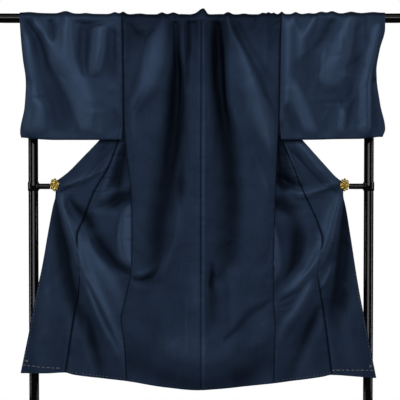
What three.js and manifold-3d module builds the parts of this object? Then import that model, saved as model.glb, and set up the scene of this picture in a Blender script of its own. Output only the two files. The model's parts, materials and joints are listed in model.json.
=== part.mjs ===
import * as THREE from 'three';
import { mergeVertices } from 'three/addons/utils/BufferGeometryUtils.js';
import Module from 'manifold-3d';

// A man's kimono threaded on the pole of a display rack, with its back to -Y. The two fronts are
// opened out sideways like wings, and a clip on each post holds the end of the collar.
// Millimetres, +Z up, X across the garment. Depths (y) are measured from the pole's axis, and drops
// from the top of the cloth at the sleeve ends. "out" is a distance from the middle, either side.

// Pole and posts
const topHeight = 1600;
const poleDiameter = 36;
const poleLength = 1610;
const poleBow = 7;
const bowSpan = 690;
const capLength = 6;
const postCapLength = 4;
const poleAxis = topHeight - 2 - poleDiameter / 2;
const postDiameter = 37;
const postOut = 636;
const postDepth = 58;
const sides = 32;

// Cloth
const clothThickness = 1.6;
const collarThickness = 2.2;
const collarPeak = 24;
const peakHalfWidth = 14;
const seamGap = 0.3;
const drapeRadius = poleDiameter / 2 + 2.3;
const armholeDrop = 393;
const cuffOpening = 250;
const sleeveDrop = 468;
const bottomHalfGap = 4;
const sewnHalfGap = clothThickness / 2 + seamGap;
const sleeveOffBody = 4;
const backCurve = 1.6;
const stretchFrom = 700;
const stretchTo = 1400;

// Arms, clips and feet
const armHeight = 950;
const armDiameter = 22;
const teeHeight = 34;
const teeWall = 2.4;
const armEnd = { left: 572, right: 561 };
const upperArm = { diameter: 14, belowPole: 6, bend: 40 };
const saddle = { out: 770, width: 22, wall: 5 };
const clipDepth = 50;
const clipHeight = 956;
const jaw = { reach: 22, height: 16, thickness: 2.5, apart: 5.2, backLength: 12, hinge: 6 };
const ornament = { halfWidth: 18, halfHeight: 25, depth: 7, petals: 8, inset: 18 };
const feet = { length: 400, width: 46, height: 20, frontReach: 170 };
const pad = { diameter: 34, height: 4, inset: 8 };
const railDiameter = 25;
const railHeight = 60;

const colours = { cloth: 0x1c283e, paint: 0x070809, gilt: 0xc8a032, rubber: 0x101010 };

// Side line of the body: where the back ends, and the depth of the back's and the front's edge there.
const sideLine = {
  left: [
    { drop: 0, out: 294, back: -20, front: 20 },
    { drop: 40, out: 293, back: -20, front: 20 },
    { drop: 205, out: 291, back: -14, front: 13 },
    { drop: 393, out: 289, back: -6, front: 3 },
    { drop: 509, out: 281, back: -8, front: -5 },
    { drop: 700, out: 262, back: -10, front: -7 },
    { drop: 813, out: 261, back: -11, front: -8 },
    { drop: 920, out: 262, back: -11, front: -8 },
    { drop: 981, out: 266, back: -10, front: -8 },
    { drop: 1075, out: 283, back: -7, front: -7 },
    { drop: 1161, out: 301, back: -6, front: -6 },
    { drop: 1263, out: 289, back: -8, front: -8 },
    { drop: 1400, out: 281, back: -9, front: -9 },
  ],
  right: [
    { drop: 0, out: 299, back: -20, front: 20 },
    { drop: 40, out: 297, back: -20, front: 20 },
    { drop: 205, out: 294, back: -14, front: 13 },
    { drop: 393, out: 291, back: -6, front: 3 },
    { drop: 509, out: 286, back: -8, front: -5 },
    { drop: 775, out: 276, back: -11, front: -8 },
    { drop: 940, out: 274, back: -11, front: -8 },
    { drop: 1019, out: 274, back: -9, front: -8 },
    { drop: 1075, out: 274, back: -7, front: -7 },
    { drop: 1188, out: 279, back: -7, front: -7 },
    { drop: 1400, out: 274, back: -9, front: -9 },
  ],
};

// Okumi seam: its place and depth, and how far the front rolls inwards between it and the side line.
const okumiSeam = {
  left: [
    { drop: 375, out: 247, depth: 34, roll: 170 },
    { drop: 471, out: 309, depth: 35, roll: 171 },
    { drop: 574, out: 350, depth: 37, roll: 164 },
    { drop: 681, out: 411, depth: 38, roll: 146 },
    { drop: 768, out: 442, depth: 36, roll: 130 },
    { drop: 850, out: 470, depth: 33, roll: 112 },
    { drop: 981, out: 460, depth: 26, roll: 52 },
    { drop: 1075, out: 463, depth: 22, roll: 12 },
    { drop: 1161, out: 479, depth: 20, roll: 0 },
    { drop: 1400, out: 512, depth: 14, roll: 0 },
  ],
  right: [
    { drop: 375, out: 247, depth: 34, roll: 170 },
    { drop: 471, out: 302, depth: 35, roll: 171 },
    { drop: 554, out: 341, depth: 36, roll: 166 },
    { drop: 655, out: 382, depth: 38, roll: 150 },
    { drop: 798, out: 444, depth: 35, roll: 124 },
    { drop: 858, out: 459, depth: 33, roll: 108 },
    { drop: 985, out: 441, depth: 26, roll: 44 },
    { drop: 1075, out: 452, depth: 22, roll: 10 },
    { drop: 1161, out: 465, depth: 20, roll: 0 },
    { drop: 1400, out: 494, depth: 14, roll: 0 },
  ],
};

// Collar, a row for each section from the middle of the back neck to the clip. run is measured along
// the cloth from the top of the pole, minus on the near side; lift is how far the free edge stands off.
const neckRows = [
  { seamOut: 0, seamRun: -34, freeOut: 0, freeRun: 20, depth: 20, lift: 0, roll: 0 },
  { seamOut: 40, seamRun: -32, freeOut: 34, freeRun: 23, depth: 20, lift: 0, roll: 0 },
  { seamOut: 70, seamRun: -23, freeOut: 52, freeRun: 31, depth: 20, lift: 2, roll: 0 },
  { seamOut: 87, seamRun: -4, freeOut: 63, freeRun: 43, depth: 20, lift: 8, roll: 0 },
  { seamOut: 96, seamRun: 18, freeOut: 75, freeRun: 54, depth: 20, lift: 24, roll: 4 },
  { seamOut: 103, seamRun: 44, freeOut: 91, freeRun: 64, depth: 21, lift: 42, roll: 40 },
  { seamOut: 113, seamRun: 74, freeOut: 116, freeRun: 82, depth: 24, lift: 48, roll: 80 },
  { seamOut: 128, seamRun: 112, freeOut: 152, freeRun: 108, depth: 27, lift: 38, roll: 110 },
  { seamOut: 147, seamRun: 154, freeOut: 188, freeRun: 146, depth: 29, lift: 22, roll: 130 },
  { seamOut: 172, seamRun: 207, freeOut: 222, freeRun: 190, depth: 31, lift: 10, roll: 150 },
  { seamOut: 205, seamRun: 282, freeOut: 255, freeRun: 260, depth: 33, lift: 4, roll: 160 },
  { seamOut: 247, seamRun: 375, freeOut: 293, freeRun: 345, depth: 34, lift: 2, roll: 170 },
];
const wingRows = {
  left: [
    { seamOut: 300, seamRun: 458, freeOut: 345, freeRun: 426, depth: 36, lift: 1 },
    { seamOut: 342, seamRun: 509, freeOut: 382, freeRun: 471, depth: 38, lift: 1 },
    { seamOut: 420, seamRun: 592, freeOut: 460, freeRun: 552, depth: 42, lift: 1 },
    { seamOut: 489, seamRun: 656, freeOut: 520, freeRun: 614, depth: 47, lift: 2 },
    { seamOut: 551, seamRun: 690, freeOut: 552, freeRun: 644, depth: 50, lift: 0 },
  ],
  right: [
    { seamOut: 296, seamRun: 458, freeOut: 342, freeRun: 426, depth: 36, lift: 1 },
    { seamOut: 338, seamRun: 509, freeOut: 379, freeRun: 471, depth: 38, lift: 1 },
    { seamOut: 412, seamRun: 592, freeOut: 452, freeRun: 553, depth: 42, lift: 1 },
    { seamOut: 478, seamRun: 656, freeOut: 511, freeRun: 617, depth: 47, lift: 2 },
    { seamOut: 538, seamRun: 690, freeOut: 540, freeRun: 645, depth: 50, lift: 0 },
  ],
};

// Front edge below the collar.
const frontEdge = {
  left: [
    { drop: 690, out: 551, depth: 50 },
    { drop: 850, out: 588, depth: 43 },
    { drop: 963, out: 610, depth: 39 },
    { drop: 1400, out: 673, depth: 30 },
  ],
  right: [
    { drop: 690, out: 538, depth: 50 },
    { drop: 850, out: 560, depth: 43 },
    { drop: 1038, out: 589, depth: 38 },
    { drop: 1400, out: 652, depth: 30 },
  ],
};

// Cuff edge of the sleeves, and the depth of the middle between their layers there.
const cuffLine = {
  left: [
    { drop: 0, out: 677, middle: 0 },
    { drop: 100, out: 671, middle: 0 },
    { drop: 175, out: 664, middle: 0 },
    { drop: 250, out: 655, middle: 0 },
    { drop: 345, out: 660, middle: 2 },
    { drop: 449, out: 678, middle: 4 },
    { drop: 468, out: 674, middle: 4 },
  ],
  right: [
    { drop: 0, out: 686, middle: 0 },
    { drop: 63, out: 685, middle: 0 },
    { drop: 138, out: 666, middle: 0 },
    { drop: 213, out: 655, middle: 2 },
    { drop: 344, out: 671, middle: 8 },
    { drop: 438, out: 690, middle: 10 },
    { drop: 468, out: 680, middle: 10 },
  ],
};

// Hem, left to right.
const hemLine = [
  { x: -673, drop: 1347 },
  { x: -514, drop: 1343 },
  { x: -296, drop: 1375 },
  { x: -11, drop: 1414 },
  { x: 285, drop: 1375 },
  { x: 491, drop: 1351 },
  { x: 652, drop: 1364 },
];

// Depth of the back along its middle seam.
const backMiddle = [
  { drop: 0, depth: -20 },
  { drop: 393, depth: -21 },
  { drop: 900, depth: -20 },
  { drop: 1400, depth: -18 },
];

// The largest folds, from one end to the other: half width and height, plus towards -Y.
const backFolds = [
  { x: -100, drop: 90, toX: -104, toDrop: 900, width: 30, rise: -9 },
  { x: 58, drop: 10, toX: 74, toDrop: 480, width: 26, rise: -9 },
  { x: -150, drop: 60, toX: -245, toDrop: 350, width: 26, rise: 7 },
  { x: 100, drop: 40, toX: 275, toDrop: 380, width: 28, rise: 7 },
  { x: 0, drop: 60, toX: -10, toDrop: 1300, width: 22, rise: 4 },
  { x: 255, drop: 1090, toX: 90, toDrop: 1230, width: 30, rise: -7 },
  { x: -255, drop: 1010, toX: -130, toDrop: 1200, width: 32, rise: -6 },
];
const wingFolds = [
  { x: -530, drop: 700, toX: -445, toDrop: 940, width: 24, rise: 11 },
  { x: -445, drop: 940, toX: -320, toDrop: 1260, width: 28, rise: 11 },
  { x: -560, drop: 760, toX: -520, toDrop: 1040, width: 24, rise: -6 },
  { x: -470, drop: 760, toX: -330, toDrop: 960, width: 28, rise: 8 },
  { x: 520, drop: 700, toX: 430, toDrop: 960, width: 24, rise: 11 },
  { x: 430, drop: 960, toX: 310, toDrop: 1200, width: 28, rise: 10 },
  { x: 560, drop: 780, toX: 520, toDrop: 1040, width: 24, rise: -6 },
];
const sleeveFolds = [
  { x: -640, drop: 90, toX: -600, toDrop: 420, width: 24, rise: 4 },
  { x: -420, drop: 60, toX: -430, toDrop: 440, width: 36, rise: -3 },
  { x: 628, drop: 170, toX: 632, toDrop: 460, width: 22, rise: 7 },
  { x: 420, drop: 60, toX: 440, toDrop: 440, width: 36, rise: -3 },
];

const group = new THREE.Group();
const rack = new THREE.Group();
rack.position.y = feet.frontReach - feet.length / 2;
group.add(rack);

const materials = {
  cloth: { color: colours.cloth, roughness: 0.55, metalness: 0 },
  paint: { color: colours.paint, roughness: 0.15, metalness: 0 },
  gilt: { color: colours.gilt, roughness: 0.3, metalness: 1 },
  rubber: { color: colours.rubber, roughness: 0.9, metalness: 0 },
};

const wasm = await Module();
wasm.setup();

function add(name, geometry, finish) {
  const mesh = new THREE.Mesh(geometry, new THREE.MeshStandardMaterial(materials[finish]));
  mesh.name = name;
  rack.add(mesh);
  return mesh;
}

function lerp(a, b, t) {
  return a + (b - a) * t;
}

function smooth(t) {
  const s = Math.min(Math.max(t, 0), 1);
  return s * s * (3 - 2 * s);
}

// Reads a column of a table at a value of its key column, on a curve that never overshoots.
function read(rows, key, column, at) {
  const last = rows.length - 1;
  if (at <= rows[0][key]) return rows[0][column];
  if (at >= rows[last][key]) return rows[last][column];
  let i = 0;
  while (rows[i + 1][key] < at) i += 1;
  const step = (j) => (rows[j + 1][column] - rows[j][column]) / (rows[j + 1][key] - rows[j][key]);
  const slope = (j) => {
    if (j === 0) return step(0);
    if (j === last) return step(last - 1);
    const a = step(j - 1);
    const b = step(j);
    return a * b <= 0 ? 0 : (2 * a * b) / (a + b);
  };
  const span = rows[i + 1][key] - rows[i][key];
  const t = (at - rows[i][key]) / span;
  const h = t * t * (3 - 2 * t);
  return lerp(rows[i][column], rows[i + 1][column], h)
    + span * (slope(i) * t * (1 - t) * (1 - t) - slope(i + 1) * t * t * (1 - t));
}

// Height of a fold's soft swell at a place, the sum over a list of folds.
function relief(folds, x, drop) {
  let sum = 0;
  for (const fold of folds) {
    const alongX = fold.toX - fold.x;
    const alongDrop = fold.toDrop - fold.drop;
    const length = Math.hypot(alongX, alongDrop);
    const t = ((x - fold.x) * alongX + (drop - fold.drop) * alongDrop) / (length * length);
    const across = ((x - fold.x) * alongDrop - (drop - fold.drop) * alongX) / length;
    const fade = 2 * fold.width;
    const ends = smooth(1 + (t * length) / fade) * smooth(1 + ((1 - t) * length) / fade);
    sum += fold.rise * Math.exp(-((across / fold.width) ** 2)) * ends;
  }
  return sum;
}

function bow(x) {
  return poleBow * Math.max(0, 1 - (x / bowSpan) ** 2);
}

function height(x, drop) {
  return topHeight - drop - bow(x) * (1 - smooth(drop / armholeDrop));
}

function hemmed(x, drop) {
  if (drop <= stretchFrom) return drop;
  const hem = read(hemLine, 'x', 'drop', x);
  return stretchFrom + ((drop - stretchFrom) * (hem - stretchFrom)) / (stretchTo - stretchFrom);
}

// Cloth that lies over the pole: its depth and drop for a length measured from the pole's top.
const quarter = (Math.PI / 2) * drapeRadius;

function overPole(run, lift = 0) {
  const side = Math.sign(run);
  const hanging = Math.abs(run) - quarter;
  if (hanging >= 0) return { depth: side * (drapeRadius + lift), drop: drapeRadius + hanging };
  const angle = run / drapeRadius;
  const radius = drapeRadius + lift;
  return { depth: Math.sin(angle) * radius, drop: drapeRadius - Math.cos(angle) * radius };
}

function point(sign, out, depth, drop) {
  return new THREE.Vector3(sign * out, depth, height(sign * out, drop));
}

// A wall of cloth on a grid of points of its middle, closed at its edges. A ring grid joins its
// first row to its last.
function wall(grid, thickness, ring = false) {
  const rows = grid.length;
  const columns = grid[0].length;
  const at = (r, c) => grid[ring ? (r + rows) % rows : Math.min(Math.max(r, 0), rows - 1)][
    Math.min(Math.max(c, 0), columns - 1)];
  const positions = [];
  for (const side of [1, -1]) {
    for (let r = 0; r < rows; r += 1) {
      for (let c = 0; c < columns; c += 1) {
        const down = at(r + 1, c).clone().sub(at(r - 1, c));
        const across = at(r, c + 1).clone().sub(at(r, c - 1));
        const normal = across.cross(down).normalize();
        positions.push(...at(r, c).clone().addScaledVector(normal, (side * thickness) / 2));
      }
    }
  }
  const index = [];
  const id = (side, r, c) => side * rows * columns + (r % rows) * columns + c;
  const quad = (a, b, c, d) => index.push(a, b, c, a, c, d);
  const lastRow = ring ? rows : rows - 1;
  for (let r = 0; r < lastRow; r += 1) {
    for (let c = 0; c < columns - 1; c += 1) {
      quad(id(0, r, c), id(0, r, c + 1), id(0, r + 1, c + 1), id(0, r + 1, c));
      quad(id(1, r, c), id(1, r + 1, c), id(1, r + 1, c + 1), id(1, r, c + 1));
    }
    quad(id(0, r, 0), id(0, r + 1, 0), id(1, r + 1, 0), id(1, r, 0));
    quad(id(0, r, columns - 1), id(1, r, columns - 1), id(1, r + 1, columns - 1), id(0, r + 1, columns - 1));
  }
  if (!ring) {
    for (let c = 0; c < columns - 1; c += 1) {
      quad(id(0, 0, c), id(1, 0, c), id(1, 0, c + 1), id(0, 0, c + 1));
      quad(id(0, rows - 1, c), id(0, rows - 1, c + 1), id(1, rows - 1, c + 1), id(1, rows - 1, c));
    }
  }
  const geometry = new THREE.BufferGeometry();
  geometry.setAttribute('position', new THREE.Float32BufferAttribute(positions, 3));
  geometry.setIndex(index);
  return outwards(geometry);
}

// Turns a closed geometry's faces out, if they point in.
function outwards(geometry) {
  const p = geometry.attributes.position;
  const index = geometry.index.array;
  const [a, b, c] = [new THREE.Vector3(), new THREE.Vector3(), new THREE.Vector3()];
  let volume = 0;
  for (let i = 0; i < index.length; i += 3) {
    a.fromBufferAttribute(p, index[i]);
    b.fromBufferAttribute(p, index[i + 1]);
    c.fromBufferAttribute(p, index[i + 2]);
    volume += a.dot(b.cross(c));
  }
  if (volume < 0) geometry.setIndex(Array.from(index).reverse());
  return geometry;
}

function steps(count) {
  return Array.from({ length: count + 1 }, (_, i) => i / count);
}

// Rows of the front: the collar's sections down to the clip, then these drops to the hem.
const lowerDrops = [770, 850, 920, 990, 1060, 1130, 1200, 1300, 1400];

// Rows of the back, from the hem up to where the cloth meets the pole.
const upperDrops = [690, 656, 592, 509, 458, 375, 300, 230, 160, 100, 60, 40];
const backDrops = [...lowerDrops].reverse().concat(upperDrops);

function between(a, b, t) {
  return Object.fromEntries(Object.keys(b).map((key) => [key, lerp(a[key], b[key], t)]));
}

// The collar's sections, with more of them where it turns over the pole.
function collarRows(side) {
  const rows = [...neckRows, ...wingRows[side].map((row) => ({ ...row, roll: 0 }))];
  return rows.flatMap((row, i) => {
    const next = rows[i + 1];
    const turning = next && next.seamRun < 2 * quarter;
    return turning ? [row, between(row, next, 1 / 3), between(row, next, 2 / 3)] : [row];
  });
}

function frontRows(side) {
  const upper = collarRows(side).map((row) => ({ ...row, drop: overPole(row.seamRun).drop }));
  const lower = lowerDrops.map((drop) => ({
    seamRun: drop - drapeRadius + quarter,
    drop,
    seamOut: read(frontEdge[side], 'drop', 'out', drop),
    depth: read(frontEdge[side], 'drop', 'depth', drop),
  }));
  return [...upper, ...lower];
}

// Back of the body: t runs from the middle seam, or the neck, to the side line.
function backPoint(side, sign, inner, drop, t) {
  const outer = read(sideLine[side], 'drop', 'out', drop);
  const out = lerp(inner, outer, t);
  const fall = hemmed(sign * out, drop);
  const middle = read(backMiddle, 'drop', 'depth', drop);
  const edge = read(sideLine[side], 'drop', 'back', drop);
  const swell = relief(backFolds, sign * out, fall) * smooth((drop - 20) / 60) * smooth((1 - t) * 8);
  return point(sign, out, lerp(middle, edge, t ** backCurve) - swell, fall);
}

// Front of the body: t runs from the okumi or collar seam, round the roll, to the side line.
function frontPoint(side, sign, row, t) {
  const { drop } = row;
  const belowTip = drop >= okumiSeam[side][0].drop;
  const seam = belowTip
    ? {
      out: read(okumiSeam[side], 'drop', 'out', drop),
      depth: read(okumiSeam[side], 'drop', 'depth', drop),
      roll: read(okumiSeam[side], 'drop', 'roll', drop),
    }
    : { out: row.seamOut, depth: row.depth, roll: row.roll };
  const beside = 0.5 * smooth((drop - armholeDrop) / 60);
  const outer = read(sideLine[side], 'drop', 'out', drop) + beside;
  const edge = read(sideLine[side], 'drop', 'front', drop);
  const handle = 3 * t * (1 - t);
  const out = lerp(seam.out, outer, t) - seam.roll * handle;
  const rollFlat = Math.min(seam.roll / 60, 1);
  const rolled = lerp(seam.depth, edge, t * t * (3 - 2 * t));
  const flat = lerp(seam.depth, edge, t);
  const fall = hemmed(sign * out, drop);
  const fade = smooth(t * 6) * smooth((1 - t) * 5) * smooth((drop - 600) / 150);
  const depth = lerp(flat, rolled, rollFlat) - relief(wingFolds, sign * out, fall) * fade;
  return point(sign, out, depth, fall);
}

function bodyGrid(side, sign) {
  const columns = steps(9);
  const rows = [];
  for (const drop of backDrops) rows.push(columns.map((t) => backPoint(side, sign, seamGap / 2, drop, t)));
  for (const row of frontRows(side)) {
    if (row.seamRun >= quarter) {
      rows.push(columns.map((t) => frontPoint(side, sign, { ...row, seamOut: row.seamOut + seamGap }, t)));
    } else {
      const { depth, drop } = overPole(row.seamRun);
      const outer = read(sideLine[side], 'drop', 'out', drop);
      const inner = row.seamOut + seamGap;
      rows.push(columns.map((t) => point(sign, lerp(inner, outer, t), depth, drop)));
    }
  }
  return rows;
}

// Okumi: t runs from its seam with the body to the collar, or below the clip to the front edge.
function okumiGrid(side, sign) {
  const tip = okumiSeam[side][0].drop;
  const rows = frontRows(side).filter((row) => row.drop > tip);
  return rows.map((row) => {
    const inner = read(okumiSeam[side], 'drop', 'out', row.drop) + 1.5 * seamGap;
    const innerDepth = read(okumiSeam[side], 'drop', 'depth', row.drop);
    return steps(6).map((t) => {
      const out = lerp(inner, row.seamOut - seamGap, t);
      const fall = hemmed(sign * out, row.drop);
      const fade = smooth(t * 4) * smooth((1 - t) * 4) * smooth((row.drop - 700) / 120);
      const depth = lerp(innerDepth, row.depth, t) - relief(wingFolds, sign * out, fall) * fade;
      return point(sign, out, depth, fall);
    });
  });
}

// Collar section: from its seam to its free edge, arched over the pole or standing off the front.
function collarSection(row, sign) {
  const width = Math.hypot(row.freeOut - row.seamOut, row.freeRun - row.seamRun, row.lift);
  return steps(6).map((part) => {
    const t = lerp((3 * seamGap + 1.2 * smooth(row.lift / 30)) / width, 1, part);
    const run = lerp(row.seamRun, row.freeRun, t);
    const out = lerp(row.seamOut, row.freeOut, t);
    const { depth, drop } = overPole(run, row.lift * t);
    const peak = collarPeak * Math.exp(-((out / peakHalfWidth) ** 2)) * Math.sin(Math.PI * Math.min(1, t * 1.1));
    const behind = (row.depth - drapeRadius) * smooth((run - quarter) / 30);
    return point(sign, out, depth + Math.max(behind, 0), drop - peak);
  });
}

function collarGrid() {
  const half = (side, sign) => collarRows(side).map((row) => collarSection(row, sign));
  return [...half('left', -1).reverse(), ...half('right', 1).slice(1)];
}

// Sleeve: each section is a ring in depth and height, over the pole and joined at the bottom.
function sleeveGrid(side, sign) {
  const nearDrops = [462, 440, 393, 345, 290, 250, 200, 150, 100, 60, 36];
  const ring = [];
  for (const drop of nearDrops) ring.push({ drop, face: -1 });
  for (const part of steps(6)) ring.push({ angle: (part - 0.5) * Math.PI });
  for (const drop of [...nearDrops].reverse()) ring.push({ drop, face: 1 });
  ring.push({ drop: sleeveDrop - 1, face: 0.6 }, { drop: sleeveDrop - 1, face: -0.6 });
  const along = [0, 0.07, 0.2, 0.4, 0.6, 0.76, 0.88, 0.95, 1];
  return ring.map((spot) => along.map((t) => {
    const onPole = spot.angle !== undefined;
    const drop = onPole ? (1 - Math.cos(spot.angle)) * drapeRadius : spot.drop;
    const seamOut = read(sideLine[side], 'drop', 'out', Math.min(drop, armholeDrop)) + 2 * seamGap;
    const inner = drop > armholeDrop ? seamOut + sleeveOffBody : seamOut;
    const cuff = read(cuffLine[side], 'drop', 'out', drop);
    const out = lerp(inner, cuff, t);
    if (onPole) return point(sign, out, Math.sin(spot.angle) * drapeRadius, drop);
    const free = lerp(drapeRadius, bottomHalfGap, smooth((drop - 36) / (sleeveDrop - 36)) ** 0.8);
    const near = read(sideLine[side], 'drop', 'back', drop);
    const far = read(sideLine[side], 'drop', 'front', drop);
    const atBody = drop > armholeDrop ? 0 : smooth(1 - (out - inner) / 90);
    const seamedCuff = smooth((drop - cuffOpening + 20) / 50) * smooth(1 - (cuff - out) / 45);
    const seamedBody = smooth((drop - armholeDrop - 5) / 30) * smooth(1 - (out - inner) / 30);
    const half = lerp(lerp(free, (far - near) / 2, atBody), sewnHalfGap, Math.max(seamedCuff, seamedBody));
    const atCuff = smooth(1 - (cuff - out) / 80);
    const middle = (atBody * (near + far)) / 2 + atCuff * read(cuffLine[side], 'drop', 'middle', drop);
    const fade = smooth(t * 8) * smooth((1 - t) * 10) * smooth((drop - 40) / 60)
      * smooth((sleeveDrop - drop) / 60);
    const swell = spot.face === -1 ? relief(sleeveFolds, sign * out, drop) * fade : 0;
    return point(sign, out, middle + spot.face * half - Math.max(swell, sewnHalfGap - half), drop);
  }));
}

// Solids for cutting and joining.
function solid(geometry) {
  const bare = geometry.clone();
  bare.deleteAttribute('normal');
  bare.deleteAttribute('uv');
  const merged = mergeVertices(bare, 1e-4);
  return new wasm.Manifold(new wasm.Mesh({
    numProp: 3,
    vertProperties: new Float32Array(merged.attributes.position.array),
    triVerts: new Uint32Array(merged.index.array),
  }));
}

function geometryOf(manifold) {
  const mesh = manifold.getMesh();
  const geometry = new THREE.BufferGeometry();
  geometry.setAttribute('position', new THREE.BufferAttribute(mesh.vertProperties, 3));
  geometry.setIndex(new THREE.BufferAttribute(mesh.triVerts, 1));
  return geometry;
}

function rod(diameter, length, axis, place) {
  const geometry = new THREE.CylinderGeometry(diameter / 2, diameter / 2, length, sides);
  if (axis === 'x') geometry.rotateZ(Math.PI / 2);
  if (axis === 'z') geometry.rotateX(Math.PI / 2);
  return geometry.translate(...place);
}

function block(size, place) {
  return new THREE.BoxGeometry(...size).translate(...place);
}

// Rod along a path, closed at both ends.
function bentRod(diameter, points, count) {
  const circle = new THREE.Shape().absarc(0, 0, diameter / 2, 0, 2 * Math.PI);
  const path = new THREE.CatmullRomCurve3(points, false, 'centripetal');
  return new THREE.ExtrudeGeometry(circle, {
    steps: count, curveSegments: 10, bevelEnabled: false, extrudePath: path,
  });
}

const signs = Object.entries({ left: -1, right: 1 });
for (const [side, sign] of signs) {
  add(`body_${side}`, wall(bodyGrid(side, sign), clothThickness), 'cloth');
  add(`sleeve_${side}`, wall(sleeveGrid(side, sign), clothThickness, true), 'cloth');
  add(`okumi_${side}`, wall(okumiGrid(side, sign), clothThickness), 'cloth');
}
add('collar', wall(collarGrid(), collarThickness), 'cloth');

// Pole, bowed a little by the weight between its ends.
const polePath = steps(16).map((t) => {
  const x = (t - 0.5) * poleLength;
  return new THREE.Vector3(x, 0, poleAxis - bow(x));
});
add('pole', bentRod(poleDiameter, polePath, 12), 'paint');

const postBottom = pad.height + feet.height + seamGap;
const postTop = poleAxis + 4;

for (const [side, sign] of signs) {
  const poleEnd = sign * (poleLength / 2 + seamGap + capLength / 2);
  add(`pole_cap_${side}`, rod(poleDiameter + 2, capLength, 'x', [poleEnd, 0, poleAxis]), 'rubber');

  // Post, with its tee and side arm.
  const postX = sign * postOut;
  const postLength = postTop - postBottom;
  const postPlace = [postX, postDepth, postBottom + postLength / 2];
  add(`post_${side}`, rod(postDiameter, postLength, 'z', postPlace), 'paint');
  const capPlace = [postX, postDepth, postTop + seamGap + postCapLength / 2];
  add(`post_cap_${side}`, rod(postDiameter, postCapLength, 'z', capPlace), 'rubber');
  const teeOuter = postDiameter + 2 * teeWall;
  const armLength = postOut - armEnd[side];
  const armMiddle = [sign * (armEnd[side] + armLength / 2), postDepth, armHeight];
  const tee = solid(rod(teeOuter, teeHeight, 'z', [postX, postDepth, armHeight]))
    .add(solid(rod(armDiameter, armLength, 'x', armMiddle)))
    .subtract(solid(rod(postDiameter + 2 * seamGap, 2 * teeHeight, 'z', [postX, postDepth, armHeight])));
  add(`tee_${side}`, geometryOf(tee), 'paint');

  // Hooked arm at the post's top, and the saddle under the pole.
  const armZ = poleAxis - upperArm.belowPole;
  const clear = postDiameter / 2 + seamGap;
  const saddleFace = poleDiameter / 2 + saddle.wall;
  add(`upper_arm_${side}`, bentRod(upperArm.diameter, [
    new THREE.Vector3(sign * (postOut + clear), postDepth, armZ),
    new THREE.Vector3(sign * (saddle.out - upperArm.bend), postDepth, armZ),
    new THREE.Vector3(sign * (saddle.out - upperArm.bend / 5), postDepth - upperArm.bend / 5, armZ),
    new THREE.Vector3(sign * saddle.out, saddleFace + 12, armZ),
    new THREE.Vector3(sign * saddle.out, saddleFace + 1.5, armZ),
  ], 9), 'paint');
  const inner = poleDiameter / 2 + seamGap;
  const saddlePlace = [sign * saddle.out, 0, poleAxis];
  const aboveSaddle = [sign * saddle.out, 0, poleAxis + 24];
  const halfRing = solid(rod(2 * (inner + saddle.wall), saddle.width, 'x', saddlePlace))
    .subtract(solid(rod(2 * inner, 2 * saddle.width, 'x', saddlePlace)))
    .subtract(solid(block([2 * saddle.width, 80, 40], aboveSaddle)));
  add(`saddle_${side}`, geometryOf(halfRing), 'paint');
}

// Clips: a jaw before and behind the end of the collar, joined beside it, and a gilt ornament.
for (const [side, sign] of signs) {
  const end = armEnd[side];
  const [hinge, tip] = [end - seamGap, end - seamGap - jaw.backLength - jaw.reach];
  const middle = (sign * (hinge + tip)) / 2;
  const long = hinge - tip;
  const near = clipDepth - (jaw.apart + jaw.thickness) / 2;
  const far = clipDepth + (jaw.apart + jaw.thickness) / 2;
  const hingePlace = [sign * (hinge - jaw.hinge / 2), clipDepth, clipHeight];
  const clip = solid(block([long, jaw.thickness, jaw.height], [middle, near, clipHeight]))
    .add(solid(block([long, jaw.thickness, jaw.height], [middle, far, clipHeight])))
    .add(solid(block([jaw.hinge, jaw.apart + 2 * jaw.thickness, jaw.height], hingePlace)));
  add(`clip_${side}`, geometryOf(clip), 'gilt');
  const face = near - jaw.thickness / 2 - seamGap;
  add(`ornament_${side}`, rosette([sign * (end - ornament.inset), face, clipHeight]), 'gilt');
}

// Scalloped ornament: a shallow dome with eight petals, flat at its back.
function rosette(place) {
  const { halfWidth: wide, halfHeight: tall, depth: deep, petals } = ornament;
  const around = 32;
  const rings = [0, 0.35, 0.62, 0.85, 1];
  const positions = [[0, deep * 0.8, 0]];
  for (const ring of rings.slice(1)) {
    for (let i = 0; i < around; i += 1) {
      const angle = (2 * Math.PI * i) / around;
      const scallop = 1 - 0.16 * ring * Math.abs(Math.sin((petals * angle) / 2)) ** 6;
      const rise = deep * (ring < 0.4 ? 0.75 : 1.25 * Math.cos((ring * Math.PI) / 2.4));
      const reach = ring * scallop;
      positions.push([wide * reach * Math.cos(angle), Math.max(rise, 1.2), tall * reach * Math.sin(angle)]);
    }
  }
  const rim = positions.slice(-around);
  for (const [x, , z] of rim) positions.push([x, 0, z]);
  positions.push([0, 0, 0]);
  const index = [];
  const id = (ring, i) => 1 + ring * around + (i % around);
  for (let i = 0; i < around; i += 1) {
    index.push(0, id(0, i), id(0, i + 1));
    for (let ring = 0; ring < rings.length - 1; ring += 1) {
      index.push(id(ring, i), id(ring + 1, i), id(ring + 1, i + 1));
      index.push(id(ring, i), id(ring + 1, i + 1), id(ring, i + 1));
    }
    index.push(positions.length - 1, id(rings.length - 1, i + 1), id(rings.length - 1, i));
  }
  const geometry = new THREE.BufferGeometry();
  const flat = positions.flatMap(([x, y, z]) => [place[0] + x, place[1] - y, place[2] + z]);
  geometry.setAttribute('position', new THREE.Float32BufferAttribute(flat, 3));
  geometry.setIndex(index);
  return outwards(geometry);
}

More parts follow.
